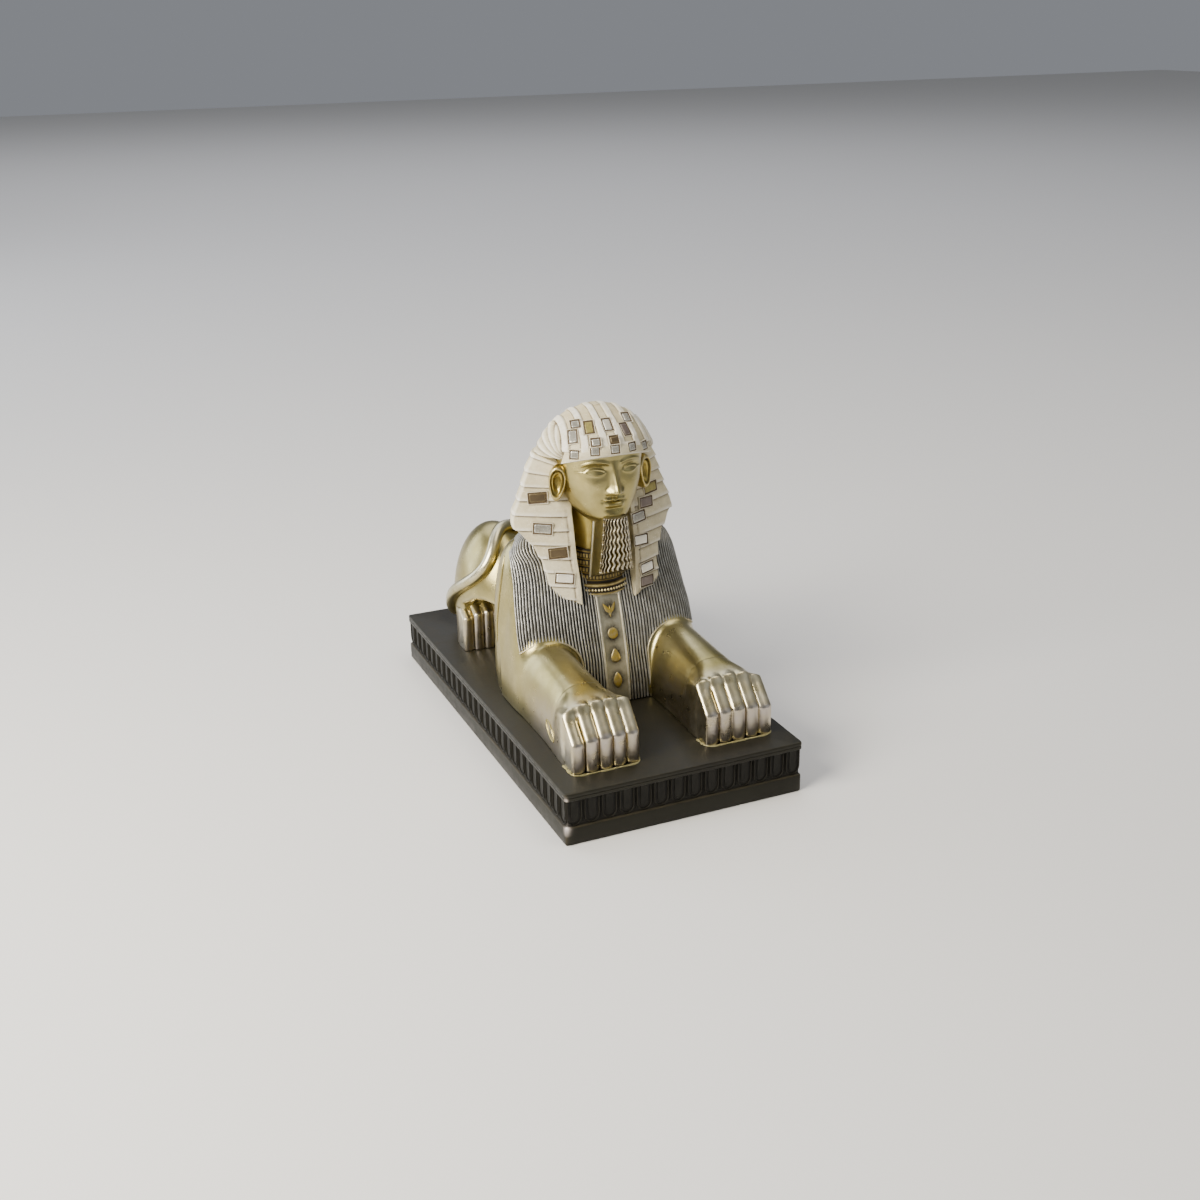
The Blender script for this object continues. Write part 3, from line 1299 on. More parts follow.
    def beard(self) -> Skin:
        """A deep block under the chin: plain sides with a bright rear bead, a rounded waved front."""
        share = np.linspace(0, 1, 130)[:, None]
        half = 6.6 + 3.2 * share
        path = np.linspace(-1, 1, 150)[None, :]
        side_run = np.clip((np.abs(path) - 0.52) / 0.48, 0, 1)
        bow = np.clip(np.abs(path) / 0.52, 0, 1)
        x = half * np.sign(path) * np.where(side_run > 0, 1.0, np.sin(bow * np.pi / 2) ** 1.05)
        front = -49.4 - 0.6 * np.sin(share * np.pi)
        nose = np.where(side_run > 0, 0.0, np.cos(bow * np.pi / 2) ** 0.55)
        y = front + 4.6 - 4.6 * nose + side_run * (-30.0 - front - 4.6)
        depth = (y + 30.0) / (front + 30.0)
        h = 112 + ((72.5 + 9.0 * depth) - 112) * share
        waving = 1 - smoothstep(0.50, 0.56, np.abs(path))
        wave = np.sin(h * 2 * np.pi / 5.4) * 0.4
        grain = np.cos((np.arcsin(np.clip(x / half, -1, 1)) * 6.6 + wave) * 2 * np.pi / 2.1)
        lift = (
            waving * (0.55 * grain - 0.4) * smoothstep(0.0, 0.03, share) * (1 - smoothstep(0.97, 1.0, share))
        )
        bead = 0.75 * bell(side_run, 0.86, 0.06)
        x, y = x + (bead + 0 * share) * np.sign(path), y - lift
        x = x + np.sign(path) * lift * np.abs(x / half) ** 2
        skin = tube(world(x, y, h))
        groove = waving * np.clip(0.85 - grain, 0, 1)
        floor = 0.6 * smoothstep(0.965, 1, share)
        skin.mark("deep", np.clip(groove + floor + 0.38 * (side_run > 0) + 0 * h, 0, 1))
        skin.mark("edge", np.clip(waving * np.clip(grain - 0.3, 0, 1) * 0.5 + bead * 1.2 + 0 * h, 0, 1))
        return skin.mark("silver", np.clip(waving * 0.6 + 0 * h, 0, 1))

    def build(self) -> None:
        """Makes the face, neck, ears and beard."""
        piece("face", self.face(), GOLD, sharp=80)
        piece("neck", self.neck(), GOLD)
        for side in Side:
            piece(f"ear_{side.name.lower()}", self.ear(side), GOLD, sharp=80)
        piece("beard", self.beard(), GOLD, sharp=60)


# The headdress


@dataclass(frozen=True)
class TilePlace:
    """Where a glass slip of the frame lies: its middle, its long, short and outward axes, and half sizes."""

    name: str
    middle: Array
    long: Array
    short: Array
    out: Array
    half_long: float
    half_short: float


def tile_places() -> list[TilePlace]:
    """Reads each slip's place from its solid in the frame.

    Returns:
        One place per slip, in metres, its outward axis away from the head's middle.
    """
    places = []
    heart = np.array([0, -0.012, SEAT + 0.118])
    for name in sorted(n for n in frame["nodes"] if n.startswith("tile_")):
        mesh = frame["nodes"][name].data
        corners = np.array([v.co for v in mesh.vertices], float)
        corners = np.unique(np.round(corners, 6), axis=0)
        middle = corners.mean(0)
        near = corners - corners[0]
        lengths = np.linalg.norm(near, axis=1)
        order = np.argsort(lengths)[1:]
        edges = [near[order[0]]]
        for i in order[1:]:
            aligned = [abs(np.dot(near[i], e)) / (np.linalg.norm(e) * lengths[i]) for e in edges]
            if max(aligned) < 0.05 and len(edges) < 3:
                edges.append(near[i])
        edges.sort(key=np.linalg.norm)
        thin, short, long = edges
        out = thin / np.linalg.norm(thin)
        out = out if np.dot(out, middle - heart) > 0 else -out
        face = middle + out * np.linalg.norm(thin) / 2
        long_unit, short_unit = long / np.linalg.norm(long), short / np.linalg.norm(short)
        if np.dot(np.cross(long_unit, short_unit), out) < 0:
            short_unit = -short_unit
        sizes = np.linalg.norm(long) / 2, np.linalg.norm(short) / 2
        places.append(TilePlace(name, face, long_unit, short_unit, out, *sizes))
    return places


@dataclass
class Headdress:
    """The folded cloth: lapped pleats gathered at the temples, two lappets, a ribbed crown and a brow band."""

    half: Curve = Curve(
        (
            (60.6, 20.5), (61, 22.8), (62, 25.4), (63.8, 28.0), (67, 30.4), (72, 32.2), (80, 33.8),
            (84, 34.8), (92, 38.2),
            (99, 43.6), (104, 47.8), (108, 47.8), (112, 46.2), (118, 43.8), (126, 41.0), (134, 38.4),
            (142, 34.8), (150, 30.6), (156, 27), (162, 21.8), (166, 16), (169, 7),
        )
    )
    inner: Curve = Curve(
        ((60, 16), (75, 16.8), (90, 17.6), (105, 17.4), (116, 17.8), (124, 21), (132, 22.4), (146, 22.8))
    )
    inner_y: Curve = Curve(
        ((60, -35.6), (75, -34), (90, -31), (105, -27.6), (118, -24.5), (128, -22.5), (146, -23.5))
    )
    outer_y: Curve = Curve(((60, -30), (76, -28), (92, -23.5), (110, -14.5), (150, -15)))
    back: Curve = Curve(
        (
            (60, 1), (84, 6), (92, 11), (104, 12.5), (120, 10.5), (134, 8), (142, 5.5), (150, 2), (156, -2.5),
            (163, -8),
            (167.5, -12), (170, -15),
        )
    )
    front: Curve = Curve(
        ((140, -42.5), (148, -45.6), (154, -43.4), (158, -39.4), (162, -34.6), (166, -28), (169, -22))
    )
    axis: float = -16.0
    temple: float = 146.0
    gather: float = 112.0
    pleat_top: float = 158.0
    pleat_foot: float = 63.0
    pleats: int = 12
    step: float = 0.95
    ribs: tuple[float, ...] = (5.0, 16.0, 27.0)
    places: list[TilePlace] = field(default_factory=tile_places)

    def fan(self, h: Array) -> Array:
        """Where a pleat that leaves the outer edge at h meets the face: gathered at the temple."""
        climbed = np.clip((h - self.gather) / (self.pleat_top - self.gather), 0, 1)
        gathered = self.temple - (self.temple - self.gather - 1) * (1 - climbed) ** 1.25
        return np.where(h <= self.gather, h - 1.5, np.minimum(gathered, h))

    def row_heights(self) -> tuple[Array, Array]:
        """Every row of the wings: the outer height and the place within its pleat, from 0 at its foot."""
        pitch = (self.pleat_top - self.pleat_foot) / self.pleats
        within = np.array([0.0, 0.03, 0.10, 0.25, 0.45, 0.65, 0.82, 0.92, 0.965])
        heights = (self.pleat_foot + pitch * (np.arange(self.pleats)[:, None] + within[None, :])).ravel()
        phases = np.tile(within, self.pleats)
        kept = heights < self.temple - 0.4
        start = np.array([60.6, 60.8, 61.1, 61.6, 62.2, 62.8])
        return np.concatenate([start, heights[kept]]), np.concatenate([np.full(6, 0.6), phases[kept]])

    def set_tiles_in(self, points: Array, first: int, last: int, margin: float = 1.3) -> Array:
        """Flattens the cloth round glass slips and presses a floor in under each.

        Args:
            points: the cloth's points in metres.
            first: the first slip's number.
            last: the last slip's number.
            margin: how far the flat goes beyond the slip, in sculpting units.

        Returns:
            The moved points.
        """
        moved = points.copy()
        for spot in self.places[first - 1 : last]:
            away = moved - spot.middle
            a, b, c = away @ spot.long, away @ spot.short, away @ spot.out
            close = np.abs(c) < 3 * MM
            under = (
                close & (np.abs(a) < spot.half_long + 0.35 * MM) & (np.abs(b) < spot.half_short + 0.35 * MM)
            )
            beside = (
                close & ~under & (np.abs(a) < spot.half_long + margin * MM)
                & (np.abs(b) < spot.half_short + margin * MM)
            )
            target = np.where(under, -1.0 * MM, np.where(beside, np.minimum(c, -0.05 * MM), c))
            moved += (target - c)[:, None] * spot.out
        return moved

    def wings(self) -> Skin:
        """Plan sections from the lappets' ends to the temples, each pleat a step like a lapped board."""
        heights, phase = self.row_heights()
        h, phase = heights[:, None], phase[:, None]
        lift = self.step * (1 - phase) * (h > self.pleat_foot - 0.1) * (phase < 1)
        half = self.half(h)
        inner = np.minimum(self.inner(h), half - 2)
        face_h = np.minimum(self.fan(h), self.temple)
        share = np.concatenate([[0, 0.02, 0.05], np.linspace(0.09, 0.97, 34), [1.0]])[None, :]
        from_edge = (half - inner) * share
        border = (1 - smoothstep(2.6, 3.4, from_edge)) * (1 - smoothstep(110, 116, h))
        stand = lift * (1 - border) + 0.75 * border * smoothstep(0.0, 0.35, from_edge)
        x = inner + (half + lift - inner) * share
        y = self.inner_y(h) - stand + (self.outer_y(h) - self.inner_y(h)) * share**1.35
        level = face_h + (h - face_h) * share
        crease = np.exp(-(((1 - phase) / 0.11) ** 2)) + np.exp(-((phase / 0.02) ** 2)) * 0.8
        seam = crease * (1 - border) + 0.8 * bell(from_edge, 3.7, 0.5) * (1 - smoothstep(110, 116, h))
        rim = np.exp(-(((phase - 0.06) / 0.05) ** 2))
        lip = rim * (1 - border)
        edge_x = half + lift + np.array([[0.25, 0.3, 0.1]])
        edge_y = self.outer_y(h) + np.array([[1.2, 2.6, 3.9]])
        turn = np.linspace(0.0, np.pi / 2, 30)[None, :]
        start = self.outer_y(h) + 4.5
        back_x = (half + lift * 0.8 - 0.3) * np.clip(np.cos(turn), 0, 1)
        back_y = start + (self.back(h) + lift - start) * np.sin(turn)
        recess = np.array([[0.0, 0.55, 0.92]]) * inner
        xs = np.concatenate([recess, x, edge_x, back_x], 1)
        ys = np.concatenate([np.full_like(recess, -17.0), y, edge_y, back_y], 1)
        hs = np.concatenate([h + 0 * recess, level, h + 0 * edge_x, h + 0 * back_x], 1)
        deep = np.concatenate([0 * recess, seam, crease + 0 * edge_x, crease + 0 * back_x], 1)
        edge = np.concatenate(
            [0 * recess, lip * (0.4 + 0.6 * share), rim + 0.3 + 0 * edge_x, rim + 0 * back_x], 1
        )
        by_ear = bell(share, 0, 0.16) * smoothstep(112, 124, h) * 0.8
        gilt = np.concatenate([0 * recess, by_ear, 0 * edge_x, 0 * back_x], 1)
        squarer = xs + np.maximum(xs - 16, 0) * 0.28 * (1 - smoothstep(62, 76, h))
        rings = np.concatenate([world(squarer, ys, hs), world(-xs, ys, hs)[:, -2:0:-1]], 1)
        mirrored = [np.concatenate([m, m[:, -2:0:-1]], 1) for m in (deep, edge, gilt)]
        skin = tube(self.set_tiles_in(rings.reshape(-1, 3), 1, 10).reshape(rings.shape))
        names = ("deep", "edge", "tint")
        for name, values in zip(names, mirrored):
            skin.mark(name, np.clip(values, 0, 1))
        return skin

    def crown(self) -> Skin:
        """The dome over the brow: for each x an arc from front to back, with raised ribs and side pleats."""
        base = self.temple - 1.0
        limit = float(self.half(base)) - 0.15
        across = np.linspace(-1, 1, 321)
        x = (limit * np.sin(across * np.pi / 2))[:, None]
        levels = np.linspace(base, 169.6, 500)
        widths = np.where(
            levels > 169, np.clip(7 * np.sqrt(np.clip((169.6 - levels) / 0.6, 0, 1)), 0.0, 7),
            self.half(levels)
        )
        top = np.interp(-np.abs(x), -widths, levels)
        swing = np.linspace(0, np.pi, 150)[None, :]
        h = base + (top - base) * np.sin(swing) ** 0.9
        half = np.interp(h, levels, widths)
        round_share = np.sqrt(np.clip(1 - (x / np.maximum(half, 1e-6)) ** 2, 0, 1))
        ends = np.where(swing < np.pi / 2, self.front(h), self.back(h))
        y = self.axis + (ends - self.axis) * round_share
        drawn = x / (1 - 0.0105 * np.clip(h - 150, 0, 22))
        fronted = 1 - smoothstep(2.35, 2.9, swing)
        rib = np.zeros_like(h)
        line = np.zeros_like(h)
        arc = np.arcsin(np.clip(np.abs(drawn) / 32, 0, 1)) * 32
        for place in self.ribs:
            gap = np.abs(arc - place)
            rib = np.maximum(rib, 1 - smoothstep(1.75, 2.35, gap))
            line = np.maximum(line, bell(gap, 2.55, 0.32))
        turn = np.degrees(np.arctan2(h - 144.0, np.hypot(np.abs(x) - 25, y + 37)))
        fanned = smoothstep(29.3, 30.0, arc)
        step = (turn / 11.0) % 1
        behind_band = (
            (1 - smoothstep(25, 28, np.abs(x))) * (1 - smoothstep(1.2, 1.5, swing))
            * (1 - smoothstep(147.5, 149.5, h))
        )
        lift = 0.95 * rib * fronted * (1 - behind_band) + fanned * 1.5 * (1 - step) - 1.8 * behind_band
        out = np.stack([x / half**2 + 0 * h, (y - self.axis) / (ends - self.axis) ** 2, 0.03 + 0 * h], -1)
        out[..., 2] = 0.06 * smoothstep(150, 168, h) / 2
        out /= np.linalg.norm(out, axis=-1, keepdims=True) + 1e-9
        points = np.stack([x + 0 * h, y, h], -1) + out * lift[..., None]
        front = world(*np.moveaxis(points, -1, 0))
        flat = self.set_tiles_in(front.reshape(-1, 3), 11, 18)
        n, m = h.shape
        faces = quads(n, m).tolist() + [list(range(0, n * m, m)) + list(range(n * m - 1, 0, -m))]
        crease = (np.exp(-(((1 - step) / 0.3) ** 2)) + np.exp(-((step / 0.06) ** 2))) * fanned
        rib = np.maximum(rib, np.exp(-(((step - 0.22) / 0.14) ** 2)) * fanned)
        skin = Skin(flat, faces)
        skin.mark(
            "deep", np.clip(line * fronted * 0.85 + crease, 0, 1)
        ).mark("edge", np.clip(rib * fronted * 0.7, 0, 1))
        return skin.mark("tint", 0.25 * (1 - rib) * fronted * smoothstep(150, 158, h) * (np.abs(drawn) < 22))

    def band(self) -> Skin:
        """The brow band from temple to temple, dipping a little at its ends."""
        level = np.linspace(146.4, 153.6, 29)
        proud = Curve(
            ((146.4, 0.3), (146.7, 1.1), (147.2, 1.45), (150, 1.5), (152.2, 1.3), (153.1, 0.95), (153.6, 0.2))
        )(level)
        inside = np.array([(153.4, -3.2), (146.6, -3.2)])
        profile = np.concatenate([np.stack([level, proud], -1), inside])
        turn = np.linspace(-0.93, 0.93, 280)[:, None]
        h, proud = profile[None, :, 0], profile[None, :, 1]
        half = self.half(h) + proud
        reach = self.front(h) - self.axis - proud
        level = h - 4.0 * (turn / 0.9) ** 2
        rings = world(half * np.sin(turn), self.axis + reach * np.cos(turn), level)
        skin = tube(self.set_tiles_in(rings.reshape(-1, 3), 19, 23, 0.5).reshape(rings.shape))
        level = np.broadcast_to(profile[:, 0], (280, 31))
        edge = 0.6 * bell(level, 147.0, 0.5) + 0.5 * bell(level, 152.9, 0.5)
        return skin.mark("edge", edge).mark(
            "deep", 0.9 * bell(level, 146.4, 0.3) + 0.7 * bell(level, 153.6, 0.3)
        )

    def build(self) -> None:
        """Makes the wings with the lappets, the crown and the band."""
        piece("headdress_wings", self.wings(), IVORY, sharp=38)
        piece("headdress_crown", self.crown(), IVORY, sharp=48)
        piece("brow_band", self.band(), IVORY, sharp=60)


@dataclass
class GlassWork:
    """The slips of mirror and amber glass, each in a dark-edged frame let into the cloth."""

    amber: tuple[int, ...] = (1, 3, 16)
    gilt: tuple[int, ...] = (5, 13)
    pale: tuple[int, ...] = (4, 8, 9)
    smoky: tuple[int, ...] = (6, 10, 17)

    def slip(self, spot: TilePlace) -> Skin:
        """A pillow-edged slip: rounded rectangles drawn in towards its face.

        Args:
            spot: where it lies.

        Returns:
            The skin.
        """
        rings = []
        for inset, rise in ((0.0, -1.2), (0.0, 0.05), (0.12, 0.22), (0.35, 0.33), (0.8, 0.36)):
            a, b = spot.half_long - inset * MM, spot.half_short - inset * MM
            corner = np.array([(-a, -b), (a, -b), (a, b), (-a, b)])
            path = np.concatenate(
                [
                    corner[i] + (corner[(i + 1) % 4] - corner[i]) * np.linspace(0.06, 0.94, 6)[:, None]
                    for i in range(4)
                ]
            )
            rings.append(
                spot.middle + path[:, :1] * spot.long + path[:, 1:] * spot.short + rise * MM * spot.out
            )
        return tube(np.stack(rings)).mark("edge", np.repeat([0, 0.3, 0.8, 0.4, 0], 24))

    def frame_round(self, spot: TilePlace, gap: float, wide: float, low: float, high: float) -> Skin:
        """A rectangular frame: a rounded bar carried round the slip.

        Args:
            spot: the slip's place.
            gap: from the slip to the bar, in sculpting units.
            wide: the bar's width.
            low: its foot, from the slip's face.
            high: its top.

        Returns:
            The skin.
        """
        bar = np.array(
            [
                (0, low), (0, high - 0.25), (0.2 * wide, high), (0.75 * wide, high), (wide, high - 0.35),
                (wide, low)
            ]
        )
        a0, b0 = spot.half_long + gap * MM, spot.half_short + gap * MM
        corners = np.array([(-1, -1), (1, -1), (1, 1), (-1, 1)], float)
        rings = []
        for i in range(4):
            for t in (0.03, 0.35, 0.65, 0.97):
                a = corners[i] * (1 - t) + corners[(i + 1) % 4] * t
                spread = np.stack([a[0] * (a0 + bar[:, 0] * MM), a[1] * (b0 + bar[:, 0] * MM)], -1)
                rings.append(
                    spot.middle + spread[:, :1] * spot.long + spread[:, 1:] * spot.short
                    + bar[:, 1:] * MM * spot.out
                )
        skin = tube(np.stack(rings), capped=False)
        return skin.mark("edge", np.tile([0, 0.1, 0.4, 0.4, 0.2, 0], 16)).mark(
            "deep", np.tile([0.8, 0.5, 0.1, 0.1, 0.3, 0.6], 16)
        )

    def build(self, places: Sequence[TilePlace]) -> None:
        """Makes every slip, its dark lining and its frame."""
        frames, linings = [], []
        for spot in places:
            number = int(spot.name[-2:])
            finish = (
                AMBER if number in self.amber + self.gilt else PALE_GLASS if number in self.pale else MIRROR
            )
            finish = SMOKY_GLASS if number in self.smoky else finish
            slip = self.slip(spot).mark("tint", np.full(120, 0.9 * (number in self.gilt)))
            piece(spot.name + "_glass", slip, finish, node=spot.name, sharp=30)
            if number < 19:
                linings.append(self.frame_round(spot, 0.04, 0.85, -1.1, 0.22))
                frames.append(self.frame_round(spot, 0.8, 0.4, -1.2, 0.34))
            else:
                linings.append(self.frame_round(spot, 0.04, 0.75, -1.6, 0.2))
                frames.append(self.frame_round(spot, 0.7, 0.35, -1.6, 0.28))
        piece("tile_linings", together(linings), SLOT_DARK, sharp=40)
        piece("tile_frames", together(frames), IVORY, sharp=40)


# The plinth


@dataclass
class Plinth:
    """The base: a plain foot band, a sunk frieze of nested hanging tongues and a worn cap."""

    half_x: float = 70.0
    half_y: float = 135.0
    high: float = 30.0
    foot: float = 10.2
    cap: float = 4.8
    recess: float = 1.4
    pitch: float = 10.0

    def core(self) -> Skin:
        """The plinth's profile run round its four sides, the near corner chipped."""
        cap = self.high - self.cap
        profile = np.array(
            [
                (0, 0.9), (0.2, 0.35), (0.8, 0), (5, 0), (self.foot - 0.7, 0), (self.foot - 0.15, 0.3),
                (self.foot, 0.7),
                (self.foot + 0.4, self.recess), (18, self.recess), (cap - 0.4, self.recess), (cap, 0.8),
                (cap + 0.5, 0.15),
                (cap + 1.0, 0), (27.2, 0), (27.5, 0.28), (27.9, 0), (self.high - 0.7, 0),
                (self.high - 0.2, 0.25),
                (self.high, 0.8),
            ]
        )
        corners = np.array([(-1, -1), (1, -1), (1, 1), (-1, 1)], float)
        run = []
        for i in range(4):
            steps = 110 if i % 2 == 0 else 210
            share = np.linspace(0, 1, steps, endpoint=False)[:, None]
            share = share - np.sin(2 * np.pi * share) / (2 * np.pi) * 0.6
            run.append(corners[i] * (1 - share) + corners[(i + 1) % 4] * share)
        around = np.concatenate(run)
        level, inset = profile[:, 0][:, None], profile[:, 1][:, None]
        x = around[None, :, 0] * (self.half_x - inset)
        y = around[None, :, 1] * (self.half_y - inset)
        level = level + 0 * x
        near = np.minimum(self.half_x - np.abs(x), self.half_y - np.abs(y)) * 0
        corner = np.hypot(self.half_x - np.abs(x), self.half_y - np.abs(y))
        ripple = 0.10 * np.sin(x * 0.9 + level) * np.sin(y * 0.7 + 2 * level)
        chip = np.exp(-((np.hypot(np.hypot(x + 70, y + 135), (level - 10.8) * 0.8) / 2.3) ** 2))
        chip = np.maximum(
            chip, 0.7 * np.exp(-((np.hypot(np.hypot(x + 70, y + 135), level - 26.2) / 1.3) ** 2))
        )
        round_corner = 0.55 * np.exp(-corner / 0.9)
        shrink = 1 - (round_corner + 0.9 * chip + near) / self.half_x
        x, y = x * shrink, y * (1 - (round_corner + 0.9 * chip) / self.half_y)
        worn = np.zeros_like(x)
        for place, width, strength in (
            (self.foot - 0.1, 0.35, 0.6), (27.5, 0.3, 0.15), (self.high - 0.2, 0.4, 0.22),
            (cap + 0.4, 0.4, 0.1)
        ):
            worn = np.maximum(worn, strength * bell(level, place, width))
        worn = np.maximum(worn, 0.5 * np.exp(-corner / 1.2))
        points = np.stack([x + ripple * 0.2, y, level], -1) * MM
        skin = tube(points)
        skin.mark("edge", worn).mark("tint", np.clip(chip * 1.4, 0, 1))
        return skin.mark("deep", (level > self.foot + 0.2) * (level < cap) * 0.85)

    def motif(self) -> tuple[Array, list[list[int]]]:
        """One hanging tongue: an outer U, open above, and a domed tongue inside it.

        Returns:
            Points as side, height and outward distance, and the faces.
        """
        top, low = self.high - self.cap + 0.3, self.foot + 1.0
        turn = np.linspace(0, np.pi, 7)
        half = 3.9
        base = low + half
        path = (
            [(-half, top)] + [(-half * math.cos(t), base - half * math.sin(t)) for t in turn] + [(half, top)]
        )
        path = np.array(path)
        ahead = np.gradient(path, axis=0)
        ahead /= np.linalg.norm(ahead, axis=1, keepdims=True)
        side = np.stack([-ahead[:, 1], ahead[:, 0]], -1)
        bar = np.array([(-0.36, -0.4), (-0.26, 0.5), (0, 0.68), (0.26, 0.5), (0.36, -0.4)])
        rings = np.stack(
            [np.concatenate([path[i] + side[i] * b[0], [b[1]]]) for i in range(len(path)) for b in bar]
        )
        outer = tube(rings.reshape(len(path), len(bar), 3))
        inner_half, inner_base = 2.15, low + 3.9
        tongue = (
            [(-inner_half, top)] + [(-inner_half * math.cos(t), inner_base - 2.6 * math.sin(t)) for t in turn]
            + [(inner_half, top)]
        )
        ring = np.array(tongue)
        middle = np.array([0, (top + inner_base) / 2])
        dome = [(1.0, -0.4), (0.93, 0.4), (0.8, 0.3), (0.4, 0.24), (0.1, 0.22)]
        rings = [
            np.concatenate([middle + (ring - middle) * s, np.full((len(ring), 1), r)], 1) for s, r in dome
        ]
        both = together([outer, tube(np.stack(rings))])
        return both.points, both.faces

    def frieze(self) -> Skin:
        """The tongues along all four sides, each a copy of the one motif, with a thin dart between."""
        points, faces = self.motif()
        dart = np.array(
            [
                (-0.35, 24.4, -0.4), (0.35, 24.4, -0.4), (0.3, 12.2, -0.4), (-0.3, 12.2, -0.4),
                (0, 24.4, 0.5), (0, 12.2, 0.4)
            ]
        )
        dart_faces = [[0, 4, 5, 3], [4, 1, 2, 5], [0, 1, 4], [3, 5, 2], [0, 3, 2, 1]]
        skins = []
        sides = (
            (self.half_x, self.half_y, 0), (self.half_y, self.half_x, 1), (self.half_x, self.half_y, 2),
            (self.half_y, self.half_x, 3)
        )
        for half_run, stand, quarter in sides:
            count = round(2 * half_run / self.pitch)
            turn = quarter * math.pi / 2
            along = np.array([math.cos(turn), math.sin(turn)])
            out = np.array([math.sin(turn), -math.cos(turn)])
            for i in range(count * 2 - 1):
                spot = ((i + 1) / 2 - count / 2) * (2 * half_run - 1.0) / count
                shape, cover = (points, faces) if i % 2 == 0 else (dart, dart_faces)
                flat = (spot + shape[:, :1]) * along + (stand - self.recess + shape[:, 2:]) * out
                placed = np.concatenate([flat, shape[:, 1:2]], 1) * MM
                proud = np.clip(shape[:, 2], 0, 1)
                skin = Skin(placed, cover)
                skins.append(
                    skin.mark("edge", proud**2 * 0.3).mark("deep", np.clip(0.85 - proud * 0.55, 0, 1))
                )
        return together(skins)

    def foot_lines(self, lion: Lion) -> Skin:
        """The pale line of gold paint where each fore paw meets the plinth, uneven in width."""
        skins = []
        for side in Side:
            inner, outer = (19, 58.2) if side is Side.LEFT else (20, 60.6)
            t = np.linspace(0, 1, 90)
            x = np.interp(t, [0, 0.28, 0.72, 1], [inner - 0.6, inner - 0.2, outer + 0.2, outer + 0.1])
            bend = np.clip(
                1 - np.abs((x - (inner + outer) / 2) / ((outer - inner) / 2 + 0.8)) ** 8, 0, 1
            ) ** (1 / 8)
            y = (
                -99.0 - 20.1 * bend + np.where(t > 0.72, (t - 0.72) * 40, 0)
                + np.where(t < 0.28, (0.28 - t) * 20, 0)
            )
            line = np.stack([x * side.value, y], -1)
            ahead = np.gradient(line, axis=0)
            ahead /= np.linalg.norm(ahead, axis=1, keepdims=True) + 1e-9
            across = np.stack([ahead[:, 1], -ahead[:, 0]], -1)
            width = 0.55 + 0.22 * np.sin(t * 41) + 0.12 * np.sin(t * 97 + 1)
            bar = np.array([(-1.2, -0.3), (-1.0, 0.35), (0.0, 0.5), (1.0, 0.3), (1.25, -0.3)])
            flat = line[:, None] + across[:, None] * bar[None, :, :1] * width[:, None, None]
            rise = np.broadcast_to(bar[None, :, 1:], flat[..., :1].shape) + PLINTH_TOP / MM
            skins.append(tube(np.concatenate([flat, rise], -1) * MM))
        return together(skins)

    def build(self, lion: Lion) -> None:
        """Makes the core, the frieze and the paint lines at the paws."""
        piece("plinth_core", self.core(), PEWTER, node=Node.PLINTH, sharp=35)
        piece("plinth_frieze", self.frieze(), PEWTER, node=Node.PLINTH, sharp=40)
        piece("paw_lines", self.foot_lines(lion), FOOT_LINE, node=Node.PLINTH)


# The stage


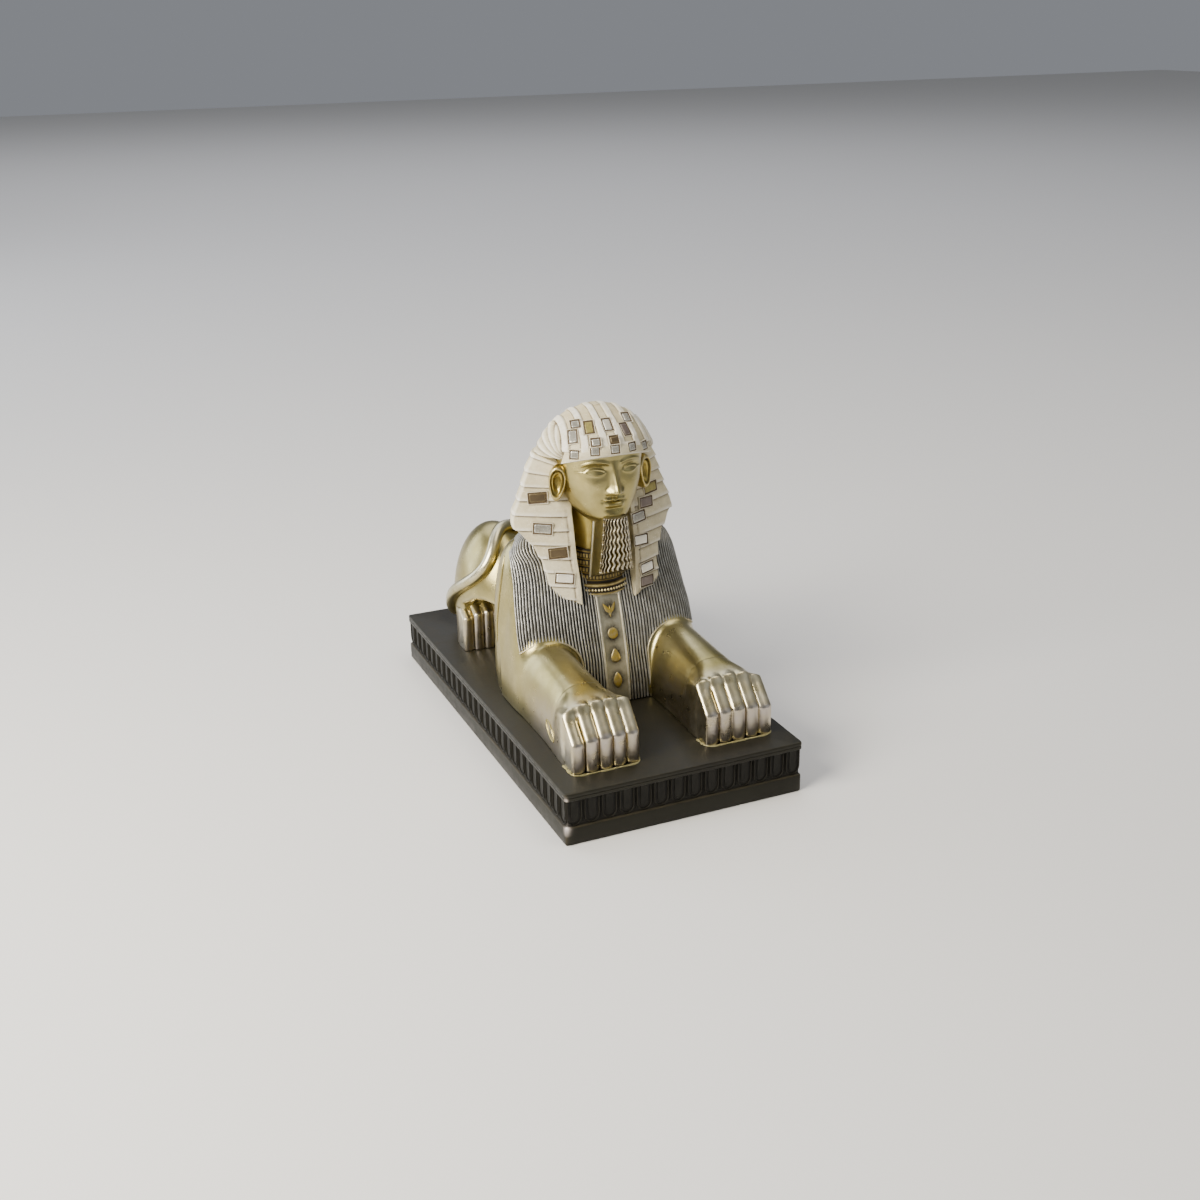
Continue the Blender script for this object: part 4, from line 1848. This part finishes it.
@dataclass
class Studio:
    """The camera at the photograph's angle, a plain pale floor and soft light from the upper left."""

    azimuth: float = -23.47679
    elevation: float = 21.70761
    roll: float = -0.88142
    distance: float = 0.89459
    shift_right: float = 0.00892
    shift_up: float = 0.00617
    aim_high: float = 0.07
    focal: float = 1511.462
    image: float = 1200.0

    def camera(self) -> None:
        """Sets the camera up from its turn, height, roll and distance."""
        a, e, r = (math.radians(v) for v in (self.azimuth, self.elevation, self.roll))
        back = np.array([math.sin(a) * math.cos(e), -math.cos(a) * math.cos(e), math.sin(e)])
        right = np.cross(-back, [0, 0, 1])
        right /= np.linalg.norm(right)
        up = np.cross(right, -back)
        right, up = right * math.cos(r) + up * math.sin(r), up * math.cos(r) - right * math.sin(r)
        spot = (
            np.array([0, 0, self.aim_high]) + back * self.distance + right * self.shift_right
            + up * self.shift_up
        )
        lens = bpy.data.cameras.new("camera")
        lens.sensor_width = 36
        lens.lens = self.focal / self.image * 36
        lens.clip_start = 0.01
        made = bpy.data.objects.new("camera", lens)
        bpy.context.scene.collection.objects.link(made)
        matrix = np.eye(4)
        matrix[:3, 0], matrix[:3, 1], matrix[:3, 2], matrix[:3, 3] = right, up, back, spot
        made.matrix_world = Matrix(matrix.tolist())
        bpy.context.scene.camera = made

    def lamp(
        self, name: str, spot: tuple[float, float, float], size: float, power: float, colour: str
    ) -> None:
        """A square soft light aimed at the statue.

        Args:
            name: its name.
            spot: where it hangs, in metres.
            size: its side.
            power: its strength in watts.
            colour: its colour as six hex digits.
        """
        light = bpy.data.lights.new(name, "AREA")
        light.size, light.energy, light.color = size, power, paint(colour)[:3]
        made = bpy.data.objects.new(name, light)
        bpy.context.scene.collection.objects.link(made)
        back = np.array(spot) - np.array([0, 0, 0.08])
        back /= np.linalg.norm(back)
        right = np.cross([0, 0, 1], back)
        right /= np.linalg.norm(right)
        matrix = np.eye(4)
        matrix[:3, 0], matrix[:3, 1], matrix[:3, 2], matrix[:3, 3] = right, np.cross(back, right), back, spot
        made.matrix_world = Matrix(matrix.tolist())
        made.visible_camera = False

    def build(self) -> None:
        """Makes the camera, the floor, the lamps and the pale surround."""
        self.camera()
        reach = 6.0
        mesh = bpy.data.meshes.new("floor")
        mesh.from_pydata(
            [(-reach, -reach, 0), (reach, -reach, 0), (reach, reach, 0), (-reach, reach, 0)], [],
            [(0, 1, 2, 3)]
        )
        floor = bpy.data.objects.new("floor", mesh)
        bpy.context.scene.collection.objects.link(floor)
        sheet = Sheet("pale_floor")
        sheet.shader.inputs["Base Color"].default_value = paint("d9d6d0")
        sheet.shader.inputs["Roughness"].default_value = 0.75
        mesh.materials.append(sheet.material)
        self.lamp("key", (-1.0, -0.3, 0.75), 0.65, 36.0, "fffaf0")
        self.lamp("wall", (-1.4, 1.5, 0.5), 1.3, 24.0, "e9f0ff")
        self.lamp("ceiling", (0.55, -0.3, 1.6), 0.9, 9.0, "fff8ea")
        self.lamp("fill", (1.1, -1.2, 0.7), 1.2, 2.0, "dfe6f2")
        self.lamp("sky", (0.0, 2.2, 3.4), 4.0, 110.0, "eef2ff")
        surround = bpy.data.worlds.new("surround")
        surround.use_nodes = True
        ground = surround.node_tree.nodes["Background"]
        ground.inputs["Color"].default_value = paint("c6cad2")
        ground.inputs["Strength"].default_value = 0.40
        bpy.context.scene.world = surround


def main() -> None:
    """Builds the statue part by part, then the stage."""
    logging.basicConfig(level=logging.INFO, format="%(message)s")
    lion = Lion()
    cape = Cape()
    headdress = Headdress()
    Studio().build()
    Plinth().build(lion)
    lion.build()
    Tail().build(lion)
    cape.build(lion)
    ChestPanel().build(lion, cape)
    Collar().build()
    Head().build()
    headdress.build()
    GlassWork().build(headdress.places)


if __name__ == "__main__":
    main()
